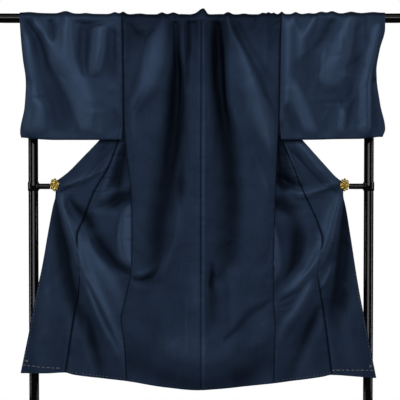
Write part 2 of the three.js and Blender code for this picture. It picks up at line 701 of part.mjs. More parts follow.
// Feet, front to back under each post, and the rail between them.
for (const [side, sign] of signs) {
  const middle = feet.length / 2 - feet.frontReach;
  const outline = new THREE.Shape();
  const straight = feet.length / 2 - feet.width / 2;
  outline.absarc(0, straight, feet.width / 2, 0, Math.PI);
  outline.absarc(0, -straight, feet.width / 2, Math.PI, 2 * Math.PI);
  const foot = new THREE.ExtrudeGeometry(outline, { depth: feet.height, bevelEnabled: false, curveSegments: 16 });
  foot.translate(sign * postOut, middle, pad.height);
  add(`foot_${side}`, foot, 'paint');
  for (const [end, along] of [['front', -1], ['back', 1]]) {
    const place = [sign * postOut, middle + along * (straight - pad.inset), (pad.height - seamGap) / 2];
    add(`pad_${end}_${side}`, rod(pad.diameter, pad.height - seamGap, 'z', place), 'rubber');
  }
}
const railLength = 2 * postOut - postDiameter - 2 * seamGap;
add('low_rail', rod(railDiameter, railLength, 'x', [0, postDepth, railHeight]), 'paint');

export default group;
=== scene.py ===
import json
import math

import bmesh
import bpy
import numpy as np
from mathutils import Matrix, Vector


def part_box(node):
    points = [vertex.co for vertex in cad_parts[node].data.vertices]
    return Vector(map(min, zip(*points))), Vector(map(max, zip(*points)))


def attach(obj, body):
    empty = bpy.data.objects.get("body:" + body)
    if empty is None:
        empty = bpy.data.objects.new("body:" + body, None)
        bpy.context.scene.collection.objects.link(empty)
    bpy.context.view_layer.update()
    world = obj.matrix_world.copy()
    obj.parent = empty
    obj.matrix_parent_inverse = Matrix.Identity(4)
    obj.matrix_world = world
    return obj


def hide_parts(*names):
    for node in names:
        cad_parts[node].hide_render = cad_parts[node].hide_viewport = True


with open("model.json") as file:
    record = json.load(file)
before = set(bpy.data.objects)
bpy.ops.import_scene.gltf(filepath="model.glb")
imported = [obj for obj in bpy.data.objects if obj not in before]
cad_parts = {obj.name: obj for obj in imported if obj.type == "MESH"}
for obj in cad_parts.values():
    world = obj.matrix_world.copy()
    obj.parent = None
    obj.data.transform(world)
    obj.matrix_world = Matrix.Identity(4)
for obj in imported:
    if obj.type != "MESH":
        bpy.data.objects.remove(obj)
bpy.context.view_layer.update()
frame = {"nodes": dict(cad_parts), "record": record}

mm = 0.001
poleLow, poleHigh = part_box("pole")
poleMiddleY = (poleLow.y + poleHigh.y) / 2
clothTop = poleHigh.z + 2 * mm

# Lengths in millimetres, depths from the pole's axis with the garment's back to minus,
# drops from the top of the cloth at the sleeve ends, "out" from the middle to either side.
cloth = {
    "thickness": 1.5,
    "collarThickness": 2.4,
    "spacing": 6.0,
    "seamGap": -0.25,
    "seamDip": 2.2,
    "seamReach": 4.5,
    "allowance": 19,
    # The reach below sets how far painted seam shade spreads; the hollow and ridge ranges set where folds take
    # painted shade and painted highlight.
    "paintedSeamShadeReach": 2.4,
    "hollow": (1, 17),
    "ridge": (1, 12),
    "poleClearance": 19.4,
    "drapeRadius": 20.3,
    "armholeDrop": 393,
    "cuffOpening": 250,
    "sleeveDrop": 468,
    "bottomHalfGap": 4,
    "stretchFrom": 700,
    "stretchTo": 1400,
    "poleBow": 7,
    "bowSpan": 690,
    "neckFan": 60.0,
    "neckTurn": 154,
    "neckBlend": 160,
    "backRows": 222,
    "waveHeight": 0.5,
}
sleeveRows = {"hanging": 76, "overPole": 13, "bottom": 7}
panelWidth = {"body": 290, "sleeve": 380, "okumi": 160, "collar": 55}
# The seed and height of each layer's small creases, and the seeds of its waves and its seams' pucker.
handling = {"wing": (31, 0.9), "back": (32, 0.7), "sleeve": (33, 1.8)}
waviness = {"wing": 5, "back": 3, "sleeve": 8}
pucker = {"middle": 11, "side": 12, "overlap": 13, "collar": 14}
crimping = {"count": 210, "x": (-690, 690), "drop": (20, 1400), "turn": 0.9, "length": (18, 60),
            "width": (7, 15)}
quarter = math.pi / 2 * cloth["drapeRadius"]


def table(columns, rows):
    return dict(zip(columns.split(), np.array(rows, float).T))


def smooth(t):
    s = np.clip(t, 0, 1)
    return s * s * (3 - 2 * s)


# From 0 to 1 between two values, the lower of which may be the second.
def ramp(at, start, end):
    return smooth((at - start) / (end - start))


def mix(a, b, t):
    return a + (b - a) * t


# A column of a table at values of its key column, on a curve that never overshoots.
def read(rows, key, column, at):
    k, v = rows[key], rows[column]
    at = np.clip(np.asarray(at, float), k[0], k[-1])
    step = np.diff(v) / np.diff(k)
    a, b = step[:-1], step[1:]
    total = np.where(a * b > 0, a + b, 1)
    slope = np.concatenate([step[:1], np.where(a * b > 0, 2 * a * b / total, 0), step[-1:]])
    i = np.clip(np.searchsorted(k, at, side="right") - 1, 0, len(k) - 2)
    span = k[i + 1] - k[i]
    t = (at - k[i]) / span
    bend = slope[i] * t * (1 - t) ** 2 - slope[i + 1] * t * t * (1 - t)
    return mix(v[i], v[i + 1], smooth(t)) + span * bend


sideLine = {
    "left": table("drop out back front", [
        (0, 294, -20, 20), (40, 293, -20, 20), (205, 291, -14, 13), (393, 289, -6, 3),
        (509, 281, -8, -5), (700, 262, -10, -7), (813, 261, -11, -8), (920, 262, -11, -8),
        (981, 266, -10, -8), (1075, 283, -7, -7), (1161, 301, -6, -6), (1263, 289, -8, -8),
        (1400, 281, -9, -9)]),
    "right": table("drop out back front", [
        (0, 299, -20, 20), (40, 297, -20, 20), (205, 294, -14, 13), (393, 291, -6, 3),
        (509, 286, -8, -5), (775, 276, -11, -8), (940, 274, -11, -8), (1019, 274, -9, -8),
        (1075, 274, -7, -7), (1188, 279, -7, -7), (1400, 274, -9, -9)]),
}
okumiSeam = {
    "left": table("drop out depth roll", [
        (375, 247, 34, 170), (471, 309, 35, 171), (574, 350, 37, 164), (681, 411, 38, 146),
        (768, 442, 36, 130), (850, 470, 33, 112), (981, 460, 26, 52), (1075, 463, 22, 12),
        (1161, 479, 20, 0), (1400, 512, 14, 0)]),
    "right": table("drop out depth roll", [
        (375, 247, 34, 170), (471, 302, 35, 171), (554, 341, 36, 166), (655, 382, 38, 150),
        (798, 444, 35, 124), (858, 459, 33, 108), (985, 441, 26, 44), (1075, 452, 22, 10),
        (1161, 465, 20, 0), (1400, 494, 14, 0)]),
}
frontEdge = {
    "left": table("drop out depth", [
        (690, 551, 50), (722, 560, 49), (812, 576, 45), (962, 600, 39), (1100, 628, 36), (1229, 651, 33),
        (1338, 672, 31), (1400, 684, 30)]),
    "right": table("drop out depth", [
        (690, 538, 50), (722, 547, 49), (850, 567, 43), (1038, 595, 38), (1220, 629, 34), (1364, 657, 31),
        (1400, 664, 30)]),
}
cuffLine = {
    "left": table("drop out middle", [
        (0, 677, 0), (100, 671, 0), (175, 664, 0), (250, 655, 0), (345, 660, 2), (449, 678, 4),
        (468, 674, 4)]),
    "right": table("drop out middle", [
        (0, 686, 0), (63, 685, 0), (138, 666, 0), (213, 655, 2), (344, 671, 8), (438, 690, 10),
        (468, 680, 10)]),
}
hemLine = table("x drop", [
    (-673, 1358), (-580, 1357), (-514, 1353), (-480, 1361), (-394, 1371), (-296, 1380), (-130, 1406),
    (-11, 1416), (60, 1412), (146, 1404), (285, 1389), (410, 1375), (461, 1368), (491, 1362), (560, 1367),
    (652, 1376)])
# How far the sleeves' bottoms and the wings' upper edges hang below their places.
sleeveSag = table("x sag", [
    (-664, -1), (-604, 5), (-550, 7.5), (-290, 7.5), (290, 7.5), (416, 6.8), (506, 4.5), (596, 3.4),
    (664, -4)])
edgeSag = {
    "left": table("drop sag", [(375, 0), (440, 13), (600, 13), (680, 0)]),
    "right": table("drop sag", [(375, 0), (440, 11), (630, 11), (690, 0)]),
}
backMiddle = table("drop depth", [(0, -20), (393, -21), (900, -20), (1400, -18)])

# The collar's sections, from the middle of the back neck to the clip.
collarColumns = "seamOut seamRun freeOut freeRun depth lift roll"
neckSections = [
    (0, -34, 0, 20, 20, 0, 0), (40, -32, 34, 23, 20, 0, 0), (70, -23, 52, 31, 20, 2, 0),
    (87, -4, 63, 43, 20, 8, 0), (96, 18, 75, 54, 20, 24, 4), (103, 44, 91, 64, 21, 42, 40),
    (113, 74, 116, 82, 24, 48, 80), (128, 112, 152, 108, 27, 38, 110), (147, 154, 188, 146, 29, 22, 130),
    (172, 207, 222, 190, 31, 10, 150), (205, 282, 255, 260, 33, 4, 160), (247, 375, 293, 345, 34, 2, 170)]
wingSections = {
    "left": [
        (300, 458, 345, 426, 36, 1, 0), (342, 509, 382, 471, 38, 1, 0), (420, 592, 460, 552, 42, 1, 0),
        (489, 656, 520, 614, 47, 2, 0), (551, 690, 552, 644, 50, 0, 0)],
    "right": [
        (296, 458, 342, 426, 36, 1, 0), (338, 509, 379, 471, 38, 1, 0), (412, 592, 452, 553, 42, 1, 0),
        (478, 656, 511, 617, 47, 2, 0), (538, 690, 540, 645, 50, 0, 0)],
}
collarPeak = {"height": 24, "middle": 9, "slopes": (24, 11)}
# Where the clips hold the cloth flat.
clipHold = {"out": 545, "drop": 660, "reach": 30}

# Where the cloth is bunched on the pole: the middle, half width and height of each rise.
crests = [
    (-640, 26, 2), (-506, 22, 6), (-430, 16, 2), (-322, 14, 5), (-291, 11, 6), (-230, 20, 2), (-146, 13, 5),
    (-104, 16, 5), (-62, 10, 3), (62, 14, 2), (101, 13, 6), (160, 15, 2), (231, 10, 4), (252, 9, 5),
    (271, 7, 4), (301, 8, 6), (353, 11, 5), (402, 12, 2), (449, 18, 5), (489, 17, 6), (560, 20, 4),
    (640, 22, 2)]

# Each fold follows a path down the cloth or across it. A row holds where it is along the path, the
# middle of the fold there, its half width and its height towards the viewer. sharp runs from 0 for
# a swell to 1 for a crease, and skew leans the steeper flank to the right of it or below it.
def downFold(sharp, skew, *path):
    return {"way": "down", "sharp": sharp, "skew": skew, "path": table("at middle width rise", path)}


def crossFold(sharp, skew, *path):
    return {**downFold(sharp, skew, *path), "way": "across"}


backFolds = [
    downFold(0.3, -0.2, (0, -138, 18, 0), (25, -143, 24, 6), (80, -162, 40, 13), (180, -188, 46, 15),
        (280, -218, 44, 12), (350, -248, 28, 5), (400, -268, 20, 0)),
    crossFold(0.5, 0, (-292, 14, 8, 0), (-280, 28, 9, -3), (-224, 84, 11, -6), (-200, 72, 10, -5),
        (-165, 50, 8, 0)),
    downFold(0, 0, (30, -268, 28, 0), (120, -262, 34, -6), (220, -284, 34, -6), (330, -292, 24, 0)),
    downFold(0.8, 0, (270, -206, 4, 0), (300, -220, 4, -2), (362, -252, 4, -2.5), (386, -268, 4, -1.5),
        (400, -275, 4, 0)),
    downFold(0.8, 0.1, (0, -98, 8, 0), (14, -97, 10, -7), (60, -95, 13, -12), (140, -92, 17, -18),
        (231, -87, 24, -27), (320, -87, 28, -29), (409, -92, 32, -26), (500, -101, 40, -22),
        (600, -118, 50, -17), (700, -138, 56, -14), (800, -158, 52, -13), (880, -160, 42, -12),
        (940, -180, 34, -10), (985, -205, 24, -5), (1010, -228, 16, 0)),
    downFold(0.8, 0, (4, -48, 7, 0), (20, -47, 8, -8), (60, -47, 9, -14), (120, -48, 9, -14),
        (213, -52, 10, -8), (300, -54, 12, 0)),
    downFold(0.2, 0, (520, -72, 8, 0), (600, -76, 10, -4), (662, -79, 12, -8), (720, -84, 12, -4),
        (780, -92, 12, 0)),
    downFold(0.1, 0, (300, -262, 14, 0), (360, -262, 20, 4), (430, -258, 22, 5), (500, -255, 20, 0)),
    downFold(0.3, 0, (0, -24, 7, -3), (40, -23, 9, -8), (120, -24, 10, -6), (260, -28, 12, -4),
        (420, -34, 14, 0)),
    downFold(0.2, -0.4, (8, -71, 9, 0), (40, -71, 12, 4), (200, -68, 14, 4), (420, -74, 22, 4),
        (620, -90, 30, 3), (720, -84, 26, 5), (800, -92, 24, 8), (900, -120, 20, 8), (990, -168, 15, 4),
        (1015, -196, 12, 0)),
    downFold(0.1, 0, (8, 8, 18, 0), (30, 9, 20, 3), (120, 13, 22, 5), (300, 11, 26, 6), (600, 5, 34, 7),
        (900, 0, 44, 6), (1080, -10, 46, 7), (1200, 0, 60, 3), (1400, 0, 60, 0)),
    downFold(0.8, 0.2, (0, 62, 8, 0), (16, 62, 14, -9), (80, 65, 22, -22), (160, 68, 25, -28),
        (250, 72, 26, -29), (320, 78, 28, -25), (400, 88, 32, -21), (480, 99, 40, -18), (600, 112, 50, -15),
        (720, 122, 56, -13), (860, 114, 60, -11), (940, 106, 58, -10), (1030, 84, 48, 0)),
    downFold(0.3, -0.3, (4, 96, 8, 0), (30, 99, 12, 4), (300, 103, 16, 6), (456, 148, 20, 6),
        (540, 168, 24, 4), (650, 182, 30, 0)),
    downFold(0.5, 0.1, (0, 92, 8, 0), (14, 97, 10, 4), (91, 126, 16, 8), (128, 147, 22, 10),
        (213, 180, 34, 13), (300, 206, 42, 15), (400, 234, 40, 15), (460, 250, 32, 12), (520, 262, 22, 6),
        (580, 272, 16, 0)),
    downFold(0.3, 0, (18, 124, 8, 0), (50, 138, 10, -6), (120, 168, 12, -7), (222, 224, 17, -8),
        (300, 254, 20, -5), (360, 280, 12, 0)),
    downFold(0.2, 0, (4, 188, 8, 0), (24, 190, 10, 4), (64, 192, 12, 0)),
    downFold(0, 0, (10, 238, 10, 0), (60, 242, 14, 4), (180, 238, 17, 3), (230, 232, 16, 0)),
    downFold(0.4, 0, (250, 216, 8, 0), (300, 244, 7, -3), (350, 280, 5, -2), (362, 288, 5, 0)),
    downFold(0.2, 0, (262, 262, 8, 0), (310, 274, 7, 4), (354, 286, 5, 0)),
    downFold(0.1, 0, (500, 190, 10, 0), (560, 212, 13, 3), (640, 242, 13, 3), (720, 262, 10, 0)),
    downFold(0, 0, (560, 210, 40, 0), (700, 222, 46, 5), (830, 210, 46, 4), (960, 200, 40, 0)),
    downFold(0, 0, (420, -215, 36, 0), (560, -228, 40, 4), (720, -232, 30, 4), (860, -228, 26, 0)),
    downFold(0.7, 0, (930, 41, 6, 0), (955, 41, 8, -8), (985, 39, 9, -12), (1022, 34, 9, -13),
        (1036, 37, 9, -10), (1060, 40, 11, -7), (1120, 41, 14, -6), (1193, 41, 16, -3), (1250, 40, 16, 0)),
    downFold(0, 0, (960, 58, 20, 0), (1030, 52, 26, -6), (1150, 50, 28, -6), (1260, 46, 26, -3),
        (1330, 44, 24, 0)),
    downFold(0, -0.4, (930, 100, 20, 0), (1010, 112, 28, 5), (1110, 116, 32, 4), (1200, 120, 30, 0)),
    downFold(0.4, 0, (1060, -56, 4, 0), (1080, -57, 5, 2.2), (1240, -54, 6, 2.4), (1275, -60, 8, 1.6),
        (1294, -80, 9, 0)),
    downFold(0.6, 0, (1108, -46, 5, 0), (1130, -44, 5, -1.5), (1185, -44, 5, 0)),
    downFold(0.6, 0, (866, -252, 4, 0), (885, -250, 4, -2), (900, -240, 4, -1.6), (908, -234, 4, 0)),
    crossFold(0.4, -0.3, (-292, 985, 8, 0), (-268, 991, 8, -4), (-232, 1002, 11, -9), (-195, 993, 15, -11),
        (-170, 976, 16, -9), (-152, 948, 16, -4), (-140, 925, 16, 0)),
    crossFold(0.2, 0, (-270, 972, 7, 0), (-244, 984, 8, 3), (-204, 974, 9, 3), (-180, 952, 10, 0)),
    crossFold(0.7, 0, (232, 980, 6, 0), (256, 1006, 5, -3), (273, 1026, 4, -3.5), (286, 1033, 4, 0)),
    crossFold(0.3, -0.6, (80, 1228, 8, 0), (98, 1216, 11, -6), (132, 1190, 19, -9), (188, 1128, 22, -9),
        (240, 1096, 18, -7), (276, 1076, 14, -3), (292, 1070, 10, 0)),
    crossFold(0.25, 0.35, (-330, 1150, 80, 2), (-209, 1240, 80, 5), (-95, 1290, 80, 7), (18, 1303, 80, 7),
        (132, 1272, 80, 7), (330, 1160, 80, 5)),
    crossFold(0, 0, (-330, 1262, 50, -7), (-209, 1336, 50, -9), (-95, 1378, 50, -9), (18, 1398, 50, -9),
        (132, 1370, 50, -9), (330, 1268, 50, -7)),
    downFold(0, 0, (980, -190, 30, 0), (1060, -214, 34, -5), (1150, -222, 38, -6), (1230, -214, 38, -4),
        (1300, -200, 36, 0)),
    downFold(0, 0, (1240, 150, 30, 0), (1310, 160, 36, -3), (1400, 165, 36, -3)),
]
wingFolds = [
    downFold(0.45, -0.3, (650, -548, 8, 0), (720, -527, 15, 13), (846, -483, 20, 18), (944, -452, 20, 17),
        (983, -437, 18, 15), (1060, -396, 18, 12), (1133, -358, 20, 9), (1244, -306, 24, 5),
        (1330, -280, 24, 0)),
    downFold(0.6, 0, (930, -458, 6, 0), (983, -448, 8, 6), (1081, -412, 11, 8), (1212, -352, 16, 6),
        (1310, -302, 20, 2), (1370, -290, 20, 0)),
    downFold(0.3, 0, (960, -438, 5, 0), (1010, -427, 6, -3), (1120, -378, 8, -4), (1230, -326, 11, -2),
        (1290, -300, 12, 0)),
    downFold(0.1, 0.35, (690, -552, 10, 0), (740, -545, 16, -9), (826, -528, 24, -14), (918, -508, 30, -15),
        (983, -500, 32, -14), (1060, -480, 32, -12), (1140, -462, 28, -8), (1230, -450, 26, 0)),
    downFold(0, 0, (1090, -446, 14, 0), (1160, -426, 20, -9), (1230, -412, 24, -11), (1300, -392, 26, -9),
        (1390, -380, 26, -4)),
    downFold(0, 0, (470, -352, 12, 0), (520, -370, 20, -6), (580, -392, 20, -5), (640, -410, 16, 0)),
    crossFold(0.3, 0.2, (-548, 660, 8, 0), (-528, 650, 10, 5), (-469, 632, 15, 8), (-384, 592, 20, 7),
        (-340, 566, 18, 0)),
    downFold(0.4, 0, (668, -530, 6, 0), (682, -524, 7, 4), (761, -470, 9, 2), (800, -450, 10, 0)),
    downFold(0.1, 0, (676, -522, 8, 0), (700, -504, 12, -7), (745, -470, 24, -12), (780, -440, 24, -7),
        (820, -410, 20, 0)),
    downFold(0.2, -0.35, (470, -300, 10, 0), (500, -308, 12, 5), (560, -328, 14, 6), (640, -362, 16, 5),
        (720, -390, 16, 0)),
    downFold(0.1, 0, (470, -280, 12, -4), (540, -300, 18, -13), (620, -314, 25, -14), (700, -320, 24, -7),
        (760, -322, 20, 0)),
    crossFold(0.1, 0, (-420, 708, 10, 0), (-370, 690, 12, 2), (-310, 662, 14, 3), (-262, 640, 14, 3),
        (-200, 620, 14, 0)),
    crossFold(0.1, 0, (-400, 738, 12, 0), (-360, 724, 16, -8), (-315, 702, 19, -9), (-262, 686, 20, -11),
        (-200, 680, 20, 0)),
    crossFold(0.2, 0.3, (-450, 760, 12, 0), (-432, 796, 16, -7), (-403, 852, 24, -13), (-351, 917, 26, -14),
        (-305, 957, 18, -12), (-262, 976, 12, -9), (-200, 990, 12, 0)),
    downFold(0.1, -0.5, (700, -268, 18, 0), (740, -286, 24, 9), (840, -300, 26, 14), (920, -292, 24, 12),
        (968, -264, 16, 0)),
    crossFold(0.7, 0, (-296, 768, 4, 0), (-280, 767, 3, -2), (-262, 766, 3, -2), (-240, 766, 3, 0)),
    crossFold(0.7, 0, (-290, 856, 4, 0), (-276, 852, 3, -2), (-262, 854, 3, -2), (-240, 856, 3, 0)),
    downFold(0, 0, (800, -420, 20, 0), (880, -420, 30, 7), (980, -370, 40, 9), (1080, -320, 40, 6),
        (1180, -290, 30, 0)),
    downFold(0, 0, (800, -566, 14, 0), (960, -580, 24, 4), (1180, -600, 34, 4), (1390, -610, 36, 3)),
    downFold(0, 0, (1120, -486, 16, 0), (1220, -494, 20, 4), (1390, -512, 24, 3)),
    downFold(0, 0, (1020, 556, 24, 0), (1090, 548, 30, -5), (1180, 540, 32, -4), (1280, 530, 30, 0)),
    downFold(0.5, 0.3, (650, 538, 8, 0), (700, 521, 15, 12), (754, 504, 20, 17), (826, 485, 24, 18),
        (865, 473, 26, 17), (925, 446, 27, 16), (963, 418, 26, 15), (1029, 356, 22, 10), (1075, 292, 14, 3),
        (1100, 270, 12, 0)),
    downFold(0.7, 0, (850, 472, 5, 0), (900, 448, 7, 4), (960, 410, 7, 4), (1010, 372, 7, 0)),
    downFold(0.2, -0.3, (680, 546, 8, 0), (720, 542, 14, -8), (774, 540, 20, -14), (852, 534, 26, -17),
        (917, 530, 32, -16), (1048, 512, 34, -14), (1110, 500, 34, -9), (1200, 486, 34, -5),
        (1270, 480, 30, 0)),
    downFold(0.4, 0, (930, 506, 7, 0), (957, 496, 9, 6), (1015, 464, 10, 6), (1050, 440, 12, 0)),
    downFold(0.2, 0, (985, 430, 12, 0), (1040, 405, 18, 8), (1110, 366, 22, 8), (1200, 300, 24, 5),
        (1260, 280, 22, 0)),
    downFold(0.1, 0, (1090, 446, 14, 0), (1120, 438, 20, -8), (1179, 414, 26, -11), (1281, 374, 26, -7),
        (1340, 350, 28, -6), (1400, 330, 28, -4)),
    crossFold(0.3, 0.2, (200, 676, 14, 0), (262, 676, 14, 2), (320, 676, 12, 2), (390, 678, 15, 7),
        (460, 660, 13, 7), (514, 643, 9, 5), (534, 650, 8, 0)),
    crossFold(0.1, 0, (200, 610, 16, 0), (262, 615, 16, -8), (300, 624, 20, -12), (370, 652, 16, -8),
        (410, 664, 14, 0)),
    crossFold(0.1, 0, (200, 706, 14, 0), (262, 712, 18, -10), (310, 724, 26, -13), (356, 736, 28, -7),
        (400, 744, 24, 0)),
    downFold(0.2, 0.35, (470, 312, 10, 0), (500, 322, 12, 6), (560, 342, 15, 8), (640, 374, 16, 6),
        (700, 396, 16, 0)),
    downFold(0, 0, (460, 296, 10, 0), (500, 300, 14, -8), (560, 304, 20, -11), (620, 310, 26, -12),
        (680, 316, 26, -7), (720, 316, 24, 0)),
    downFold(0.1, 0.5, (770, 268, 14, 0), (820, 274, 15, 8), (890, 284, 18, 13), (950, 288, 18, 12),
        (1000, 280, 16, 4), (1030, 274, 12, 0)),
    downFold(0.1, 0, (720, 340, 20, 0), (790, 362, 30, -8), (850, 368, 36, -13), (930, 358, 30, -14),
        (990, 324, 18, -8), (1030, 284, 12, 0)),
    downFold(0.2, -0.3, (450, 346, 16, 0), (500, 384, 28, 13), (565, 430, 33, 17), (625, 484, 26, 13),
        (665, 520, 14, 0)),
    crossFold(0.3, 0, (240, 1082, 8, 0), (300, 1092, 8, 3), (345, 1072, 8, 2), (370, 1050, 8, 0)),
    crossFold(0.3, 0, (236, 1106, 8, 0), (270, 1110, 8, 2), (310, 1112, 8, 2.5), (350, 1096, 8, 0)),
    downFold(0, 0, (1100, 540, 26, 0), (1200, 560, 34, 4), (1390, 590, 40, 3)),
    downFold(0, 0, (1120, 472, 14, 0), (1200, 484, 20, 4), (1390, 508, 24, 3)),
]
sleeveFolds = [
    downFold(0.1, 0, (16, -660, 10, 0), (45, -643, 14, -8), (92, -610, 20, -12), (164, -588, 24, -13),
        (231, -570, 28, -13), (314, -546, 34, -11), (403, -528, 36, -8), (455, -522, 36, -4)),
    downFold(0.3, -0.3, (10, -625, 8, 0), (52, -612, 13, 6), (124, -566, 20, 7), (195, -545, 26, 7),
        (278, -506, 30, 6), (340, -470, 34, 5), (440, -440, 36, 2)),
    downFold(0.3, 0.1, (6, -500, 8, 0), (24, -500, 12, 8), (80, -506, 24, 11), (160, -505, 32, 11),
        (230, -480, 36, 8), (300, -445, 38, 5), (380, -425, 40, 2)),
    downFold(0.5, 0, (8, -562, 8, 0), (34, -560, 10, -7), (84, -555, 10, -7), (118, -553, 7, 0)),
    downFold(0.1, 0, (30, -428, 16, 0), (60, -434, 22, -11), (134, -434, 22, -14), (203, -432, 18, -10),
        (245, -430, 14, 0)),
    downFold(0.2, 0.1, (34, -370, 16, 0), (56, -374, 24, 11), (131, -384, 27, 13), (205, -402, 26, 10),
        (240, -410, 20, 0)),
    downFold(0, 0, (40, -330, 14, 0), (90, -330, 20, -9), (195, -331, 22, -8), (280, -334, 20, 0)),
    crossFold(0.2, 0, (-480, 44, 7, 0), (-462, 36, 9, -5), (-400, 40, 9, -5), (-352, 34, 7, 0)),
    downFold(0.2, 0, (316, -612, 12, 0), (345, -604, 20, 8), (400, -610, 24, 9), (450, -620, 24, 5)),
    downFold(0.3, 0, (330, -636, 6, 0), (370, -636, 8, -4), (410, -644, 8, -3), (440, -648, 8, 0)),
    downFold(0.1, 0, (350, -330, 12, 0), (393, -316, 16, -6), (440, -324, 18, -4), (465, -330, 16, -2)),
    downFold(0, 0, (40, -680, 16, 0), (110, -655, 22, 7), (240, -642, 24, 9), (330, -646, 24, 9),
        (420, -652, 22, 7)),
    downFold(0.2, 0, (420, -430, 10, 0), (462, -426, 14, -3)),
    downFold(0.2, 0, (430, -530, 8, 0), (462, -534, 10, 3)),
    downFold(0.2, -0.2, (6, 556, 10, 0), (20, 550, 18, 8), (80, 534, 27, 12), (140, 516, 32, 12),
        (214, 492, 32, 9), (300, 478, 32, 0)),
    downFold(0.2, 0, (100, 470, 10, 0), (160, 456, 12, 4), (230, 450, 14, 4), (280, 446, 16, 0)),
    downFold(0.3, 0, (6, 424, 7, 0), (20, 420, 9, 7), (66, 396, 12, 8), (98, 378, 14, 6), (200, 366, 18, 0)),
    downFold(0.1, 0, (14, 486, 14, 0), (40, 484, 20, -7), (90, 462, 18, -6), (150, 420, 24, -4),
        (230, 404, 28, -3), (300, 410, 30, -1)),
    downFold(0, 0, (30, 592, 14, 0), (70, 584, 18, -4), (150, 584, 20, -4), (224, 582, 22, -5),
        (300, 566, 22, -3), (340, 550, 30, 0)),
    downFold(0.7, 0, (6, 618, 4, 0), (20, 618, 4, -3), (100, 620, 5, -3), (140, 622, 5, 0)),
    downFold(0.4, 0, (16, 320, 12, 0), (40, 318, 18, 10), (110, 322, 16, 9), (230, 320, 18, 10),
        (321, 316, 14, 8), (370, 314, 10, 0)),
    downFold(0.2, 0.3, (30, 668, 12, 0), (60, 660, 16, 6), (160, 640, 18, 9), (267, 620, 20, 10),
        (447, 618, 18, 9)),
    downFold(0.4, 0, (330, 318, 8, 0), (360, 322, 11, -6), (404, 342, 13, -7), (457, 362, 13, -5)),
    downFold(0.5, 0, (186, 648, 5, 0), (212, 645, 8, -7), (270, 642, 10, -9), (343, 650, 12, -9),
        (440, 655, 13, -6), (462, 657, 11, -2)),
    downFold(0.1, 0, (320, 452, 14, 0), (365, 461, 20, -4), (455, 473, 24, -4)),
    downFold(0.3, 0, (310, 584, 8, 0), (350, 568, 11, -5), (415, 550, 12, -4), (440, 545, 10, 0)),
    downFold(0.1, 0, (236, 340, 14, 0), (290, 358, 18, 6), (350, 380, 22, 8), (427, 410, 24, 8),
        (460, 420, 24, 5)),
    downFold(0.1, 0, (330, 526, 14, 0), (380, 532, 18, 6), (450, 528, 20, 5)),
    crossFold(0.7, 0.3, (448, 336, 4, 0), (462, 336, 4, -2), (530, 335, 4, -2), (560, 337, 4, 0)),
    downFold(0.2, 0, (4, 340, 7, 0), (20, 342, 8, 4), (60, 350, 10, 0)),
]
# The layers out of the viewer's sight have plainer folds.
farFolds = [
    downFold(0.1, 0, (20, -600, 16, 0), (80, -596, 22, 6), (240, -588, 28, 7), (420, -575, 30, 3)),
    downFold(0, 0, (30, -500, 16, 0), (120, -505, 24, -7), (330, -520, 30, 0)),
    downFold(0.2, 0, (14, -404, 12, 0), (60, -410, 18, 7), (190, -420, 24, 7), (330, -436, 28, 0)),
    downFold(0, 0, (60, -340, 16, 0), (180, -346, 22, -5), (400, -350, 24, 0)),
    downFold(0.2, 0, (16, 380, 12, 0), (70, 386, 18, 7), (230, 398, 26, 6), (380, 410, 28, 0)),
    downFold(0, 0, (30, 470, 16, 0), (150, 480, 24, -7), (420, 500, 30, -3)),
    downFold(0.1, 0, (14, 556, 14, 0), (80, 560, 20, 7), (260, 580, 26, 6), (430, 590, 30, 2)),
    downFold(0.2, 0, (24, 632, 12, 0), (120, 628, 16, 5), (300, 620, 20, 0)),
]


def relief(folds, x, drop, widen=1, sharpen=1, hollow=1):
    total = np.zeros(np.broadcast(x, drop).shape)
    for fold in folds:
        path = fold["path"]
        at, beside = (drop, x) if fold["way"] == "down" else (x, drop)
        middle = read(path, "at", "middle", at)
        lean = (read(path, "at", "middle", at + 2) - read(path, "at", "middle", at - 2)) / 4
        across = (beside - middle) / np.sqrt(1 + lean * lean) / read(path, "at", "width", at)
        across = across / (widen * hollow if path["rise"].min() < 0 else widen)
        across = across / np.where(across > 0, 1 - fold["skew"], 1 + fold["skew"])
        soft = np.exp(-across * across)
        crease = np.exp(-1.7 * (np.sqrt(across * across + 0.04) - 0.2))
        total += read(path, "at", "rise", at) * mix(soft, crease, fold["sharp"] * sharpen)
    return total


# Slow uneven waves that no cloth is free of.
def unevenness(x, drop, seed):
    random = np.random.default_rng(seed)
    total = np.zeros(np.broadcast(x, drop).shape)
    for wave in range(9):
        length = random.uniform(70, 240)
        turn = random.normal(0, 0.5)
        phase = random.uniform(0, 2 * math.pi)
        total += np.sin(2 * math.pi * (x * math.cos(turn) + drop * math.sin(turn)) / length + phase)
    return total * cloth["waveHeight"] / 3


# Small soft creases of many directions that handling leaves in a crisp cloth.
def crimps(x, drop, seed, height):
    random = np.random.default_rng(seed)
    total = np.zeros(np.broadcast(x, drop).shape)
    for crimp in range(crimping["count"]):
        middle, level = random.uniform(*crimping["x"]), random.uniform(*crimping["drop"])
        turn = random.normal(0, crimping["turn"])
        length, width = random.uniform(*crimping["length"]), random.uniform(*crimping["width"])
        rise = random.choice([-1, 1]) * random.uniform(0.4, 1)
        along = ((drop - level) * math.cos(turn) + (x - middle) * math.sin(turn)) / length
        beside = ((x - middle) * math.cos(turn) - (drop - level) * math.sin(turn)) / width
        beside = beside + 0.5 * along * along
        total += rise * np.exp(-along * along - 1.5 * (np.sqrt(beside * beside + 0.06) - 0.25))
    return height * total


# The dip beside a seam, with the pucker that its stitches draw up.
def seamGroove(distance, along, seam):
    random = np.random.default_rng(pucker[seam])
    drawn = sum(np.sin(2 * math.pi * along / length + random.uniform(0, 6)) for length in (17, 29, 47))
    near = np.exp(-((np.abs(distance) / cloth["seamReach"]) ** 2))
    wide = np.exp(-((np.abs(distance) / (3 * cloth["seamReach"])) ** 2))
    return cloth["seamDip"] * near + 0.22 * drawn * wide


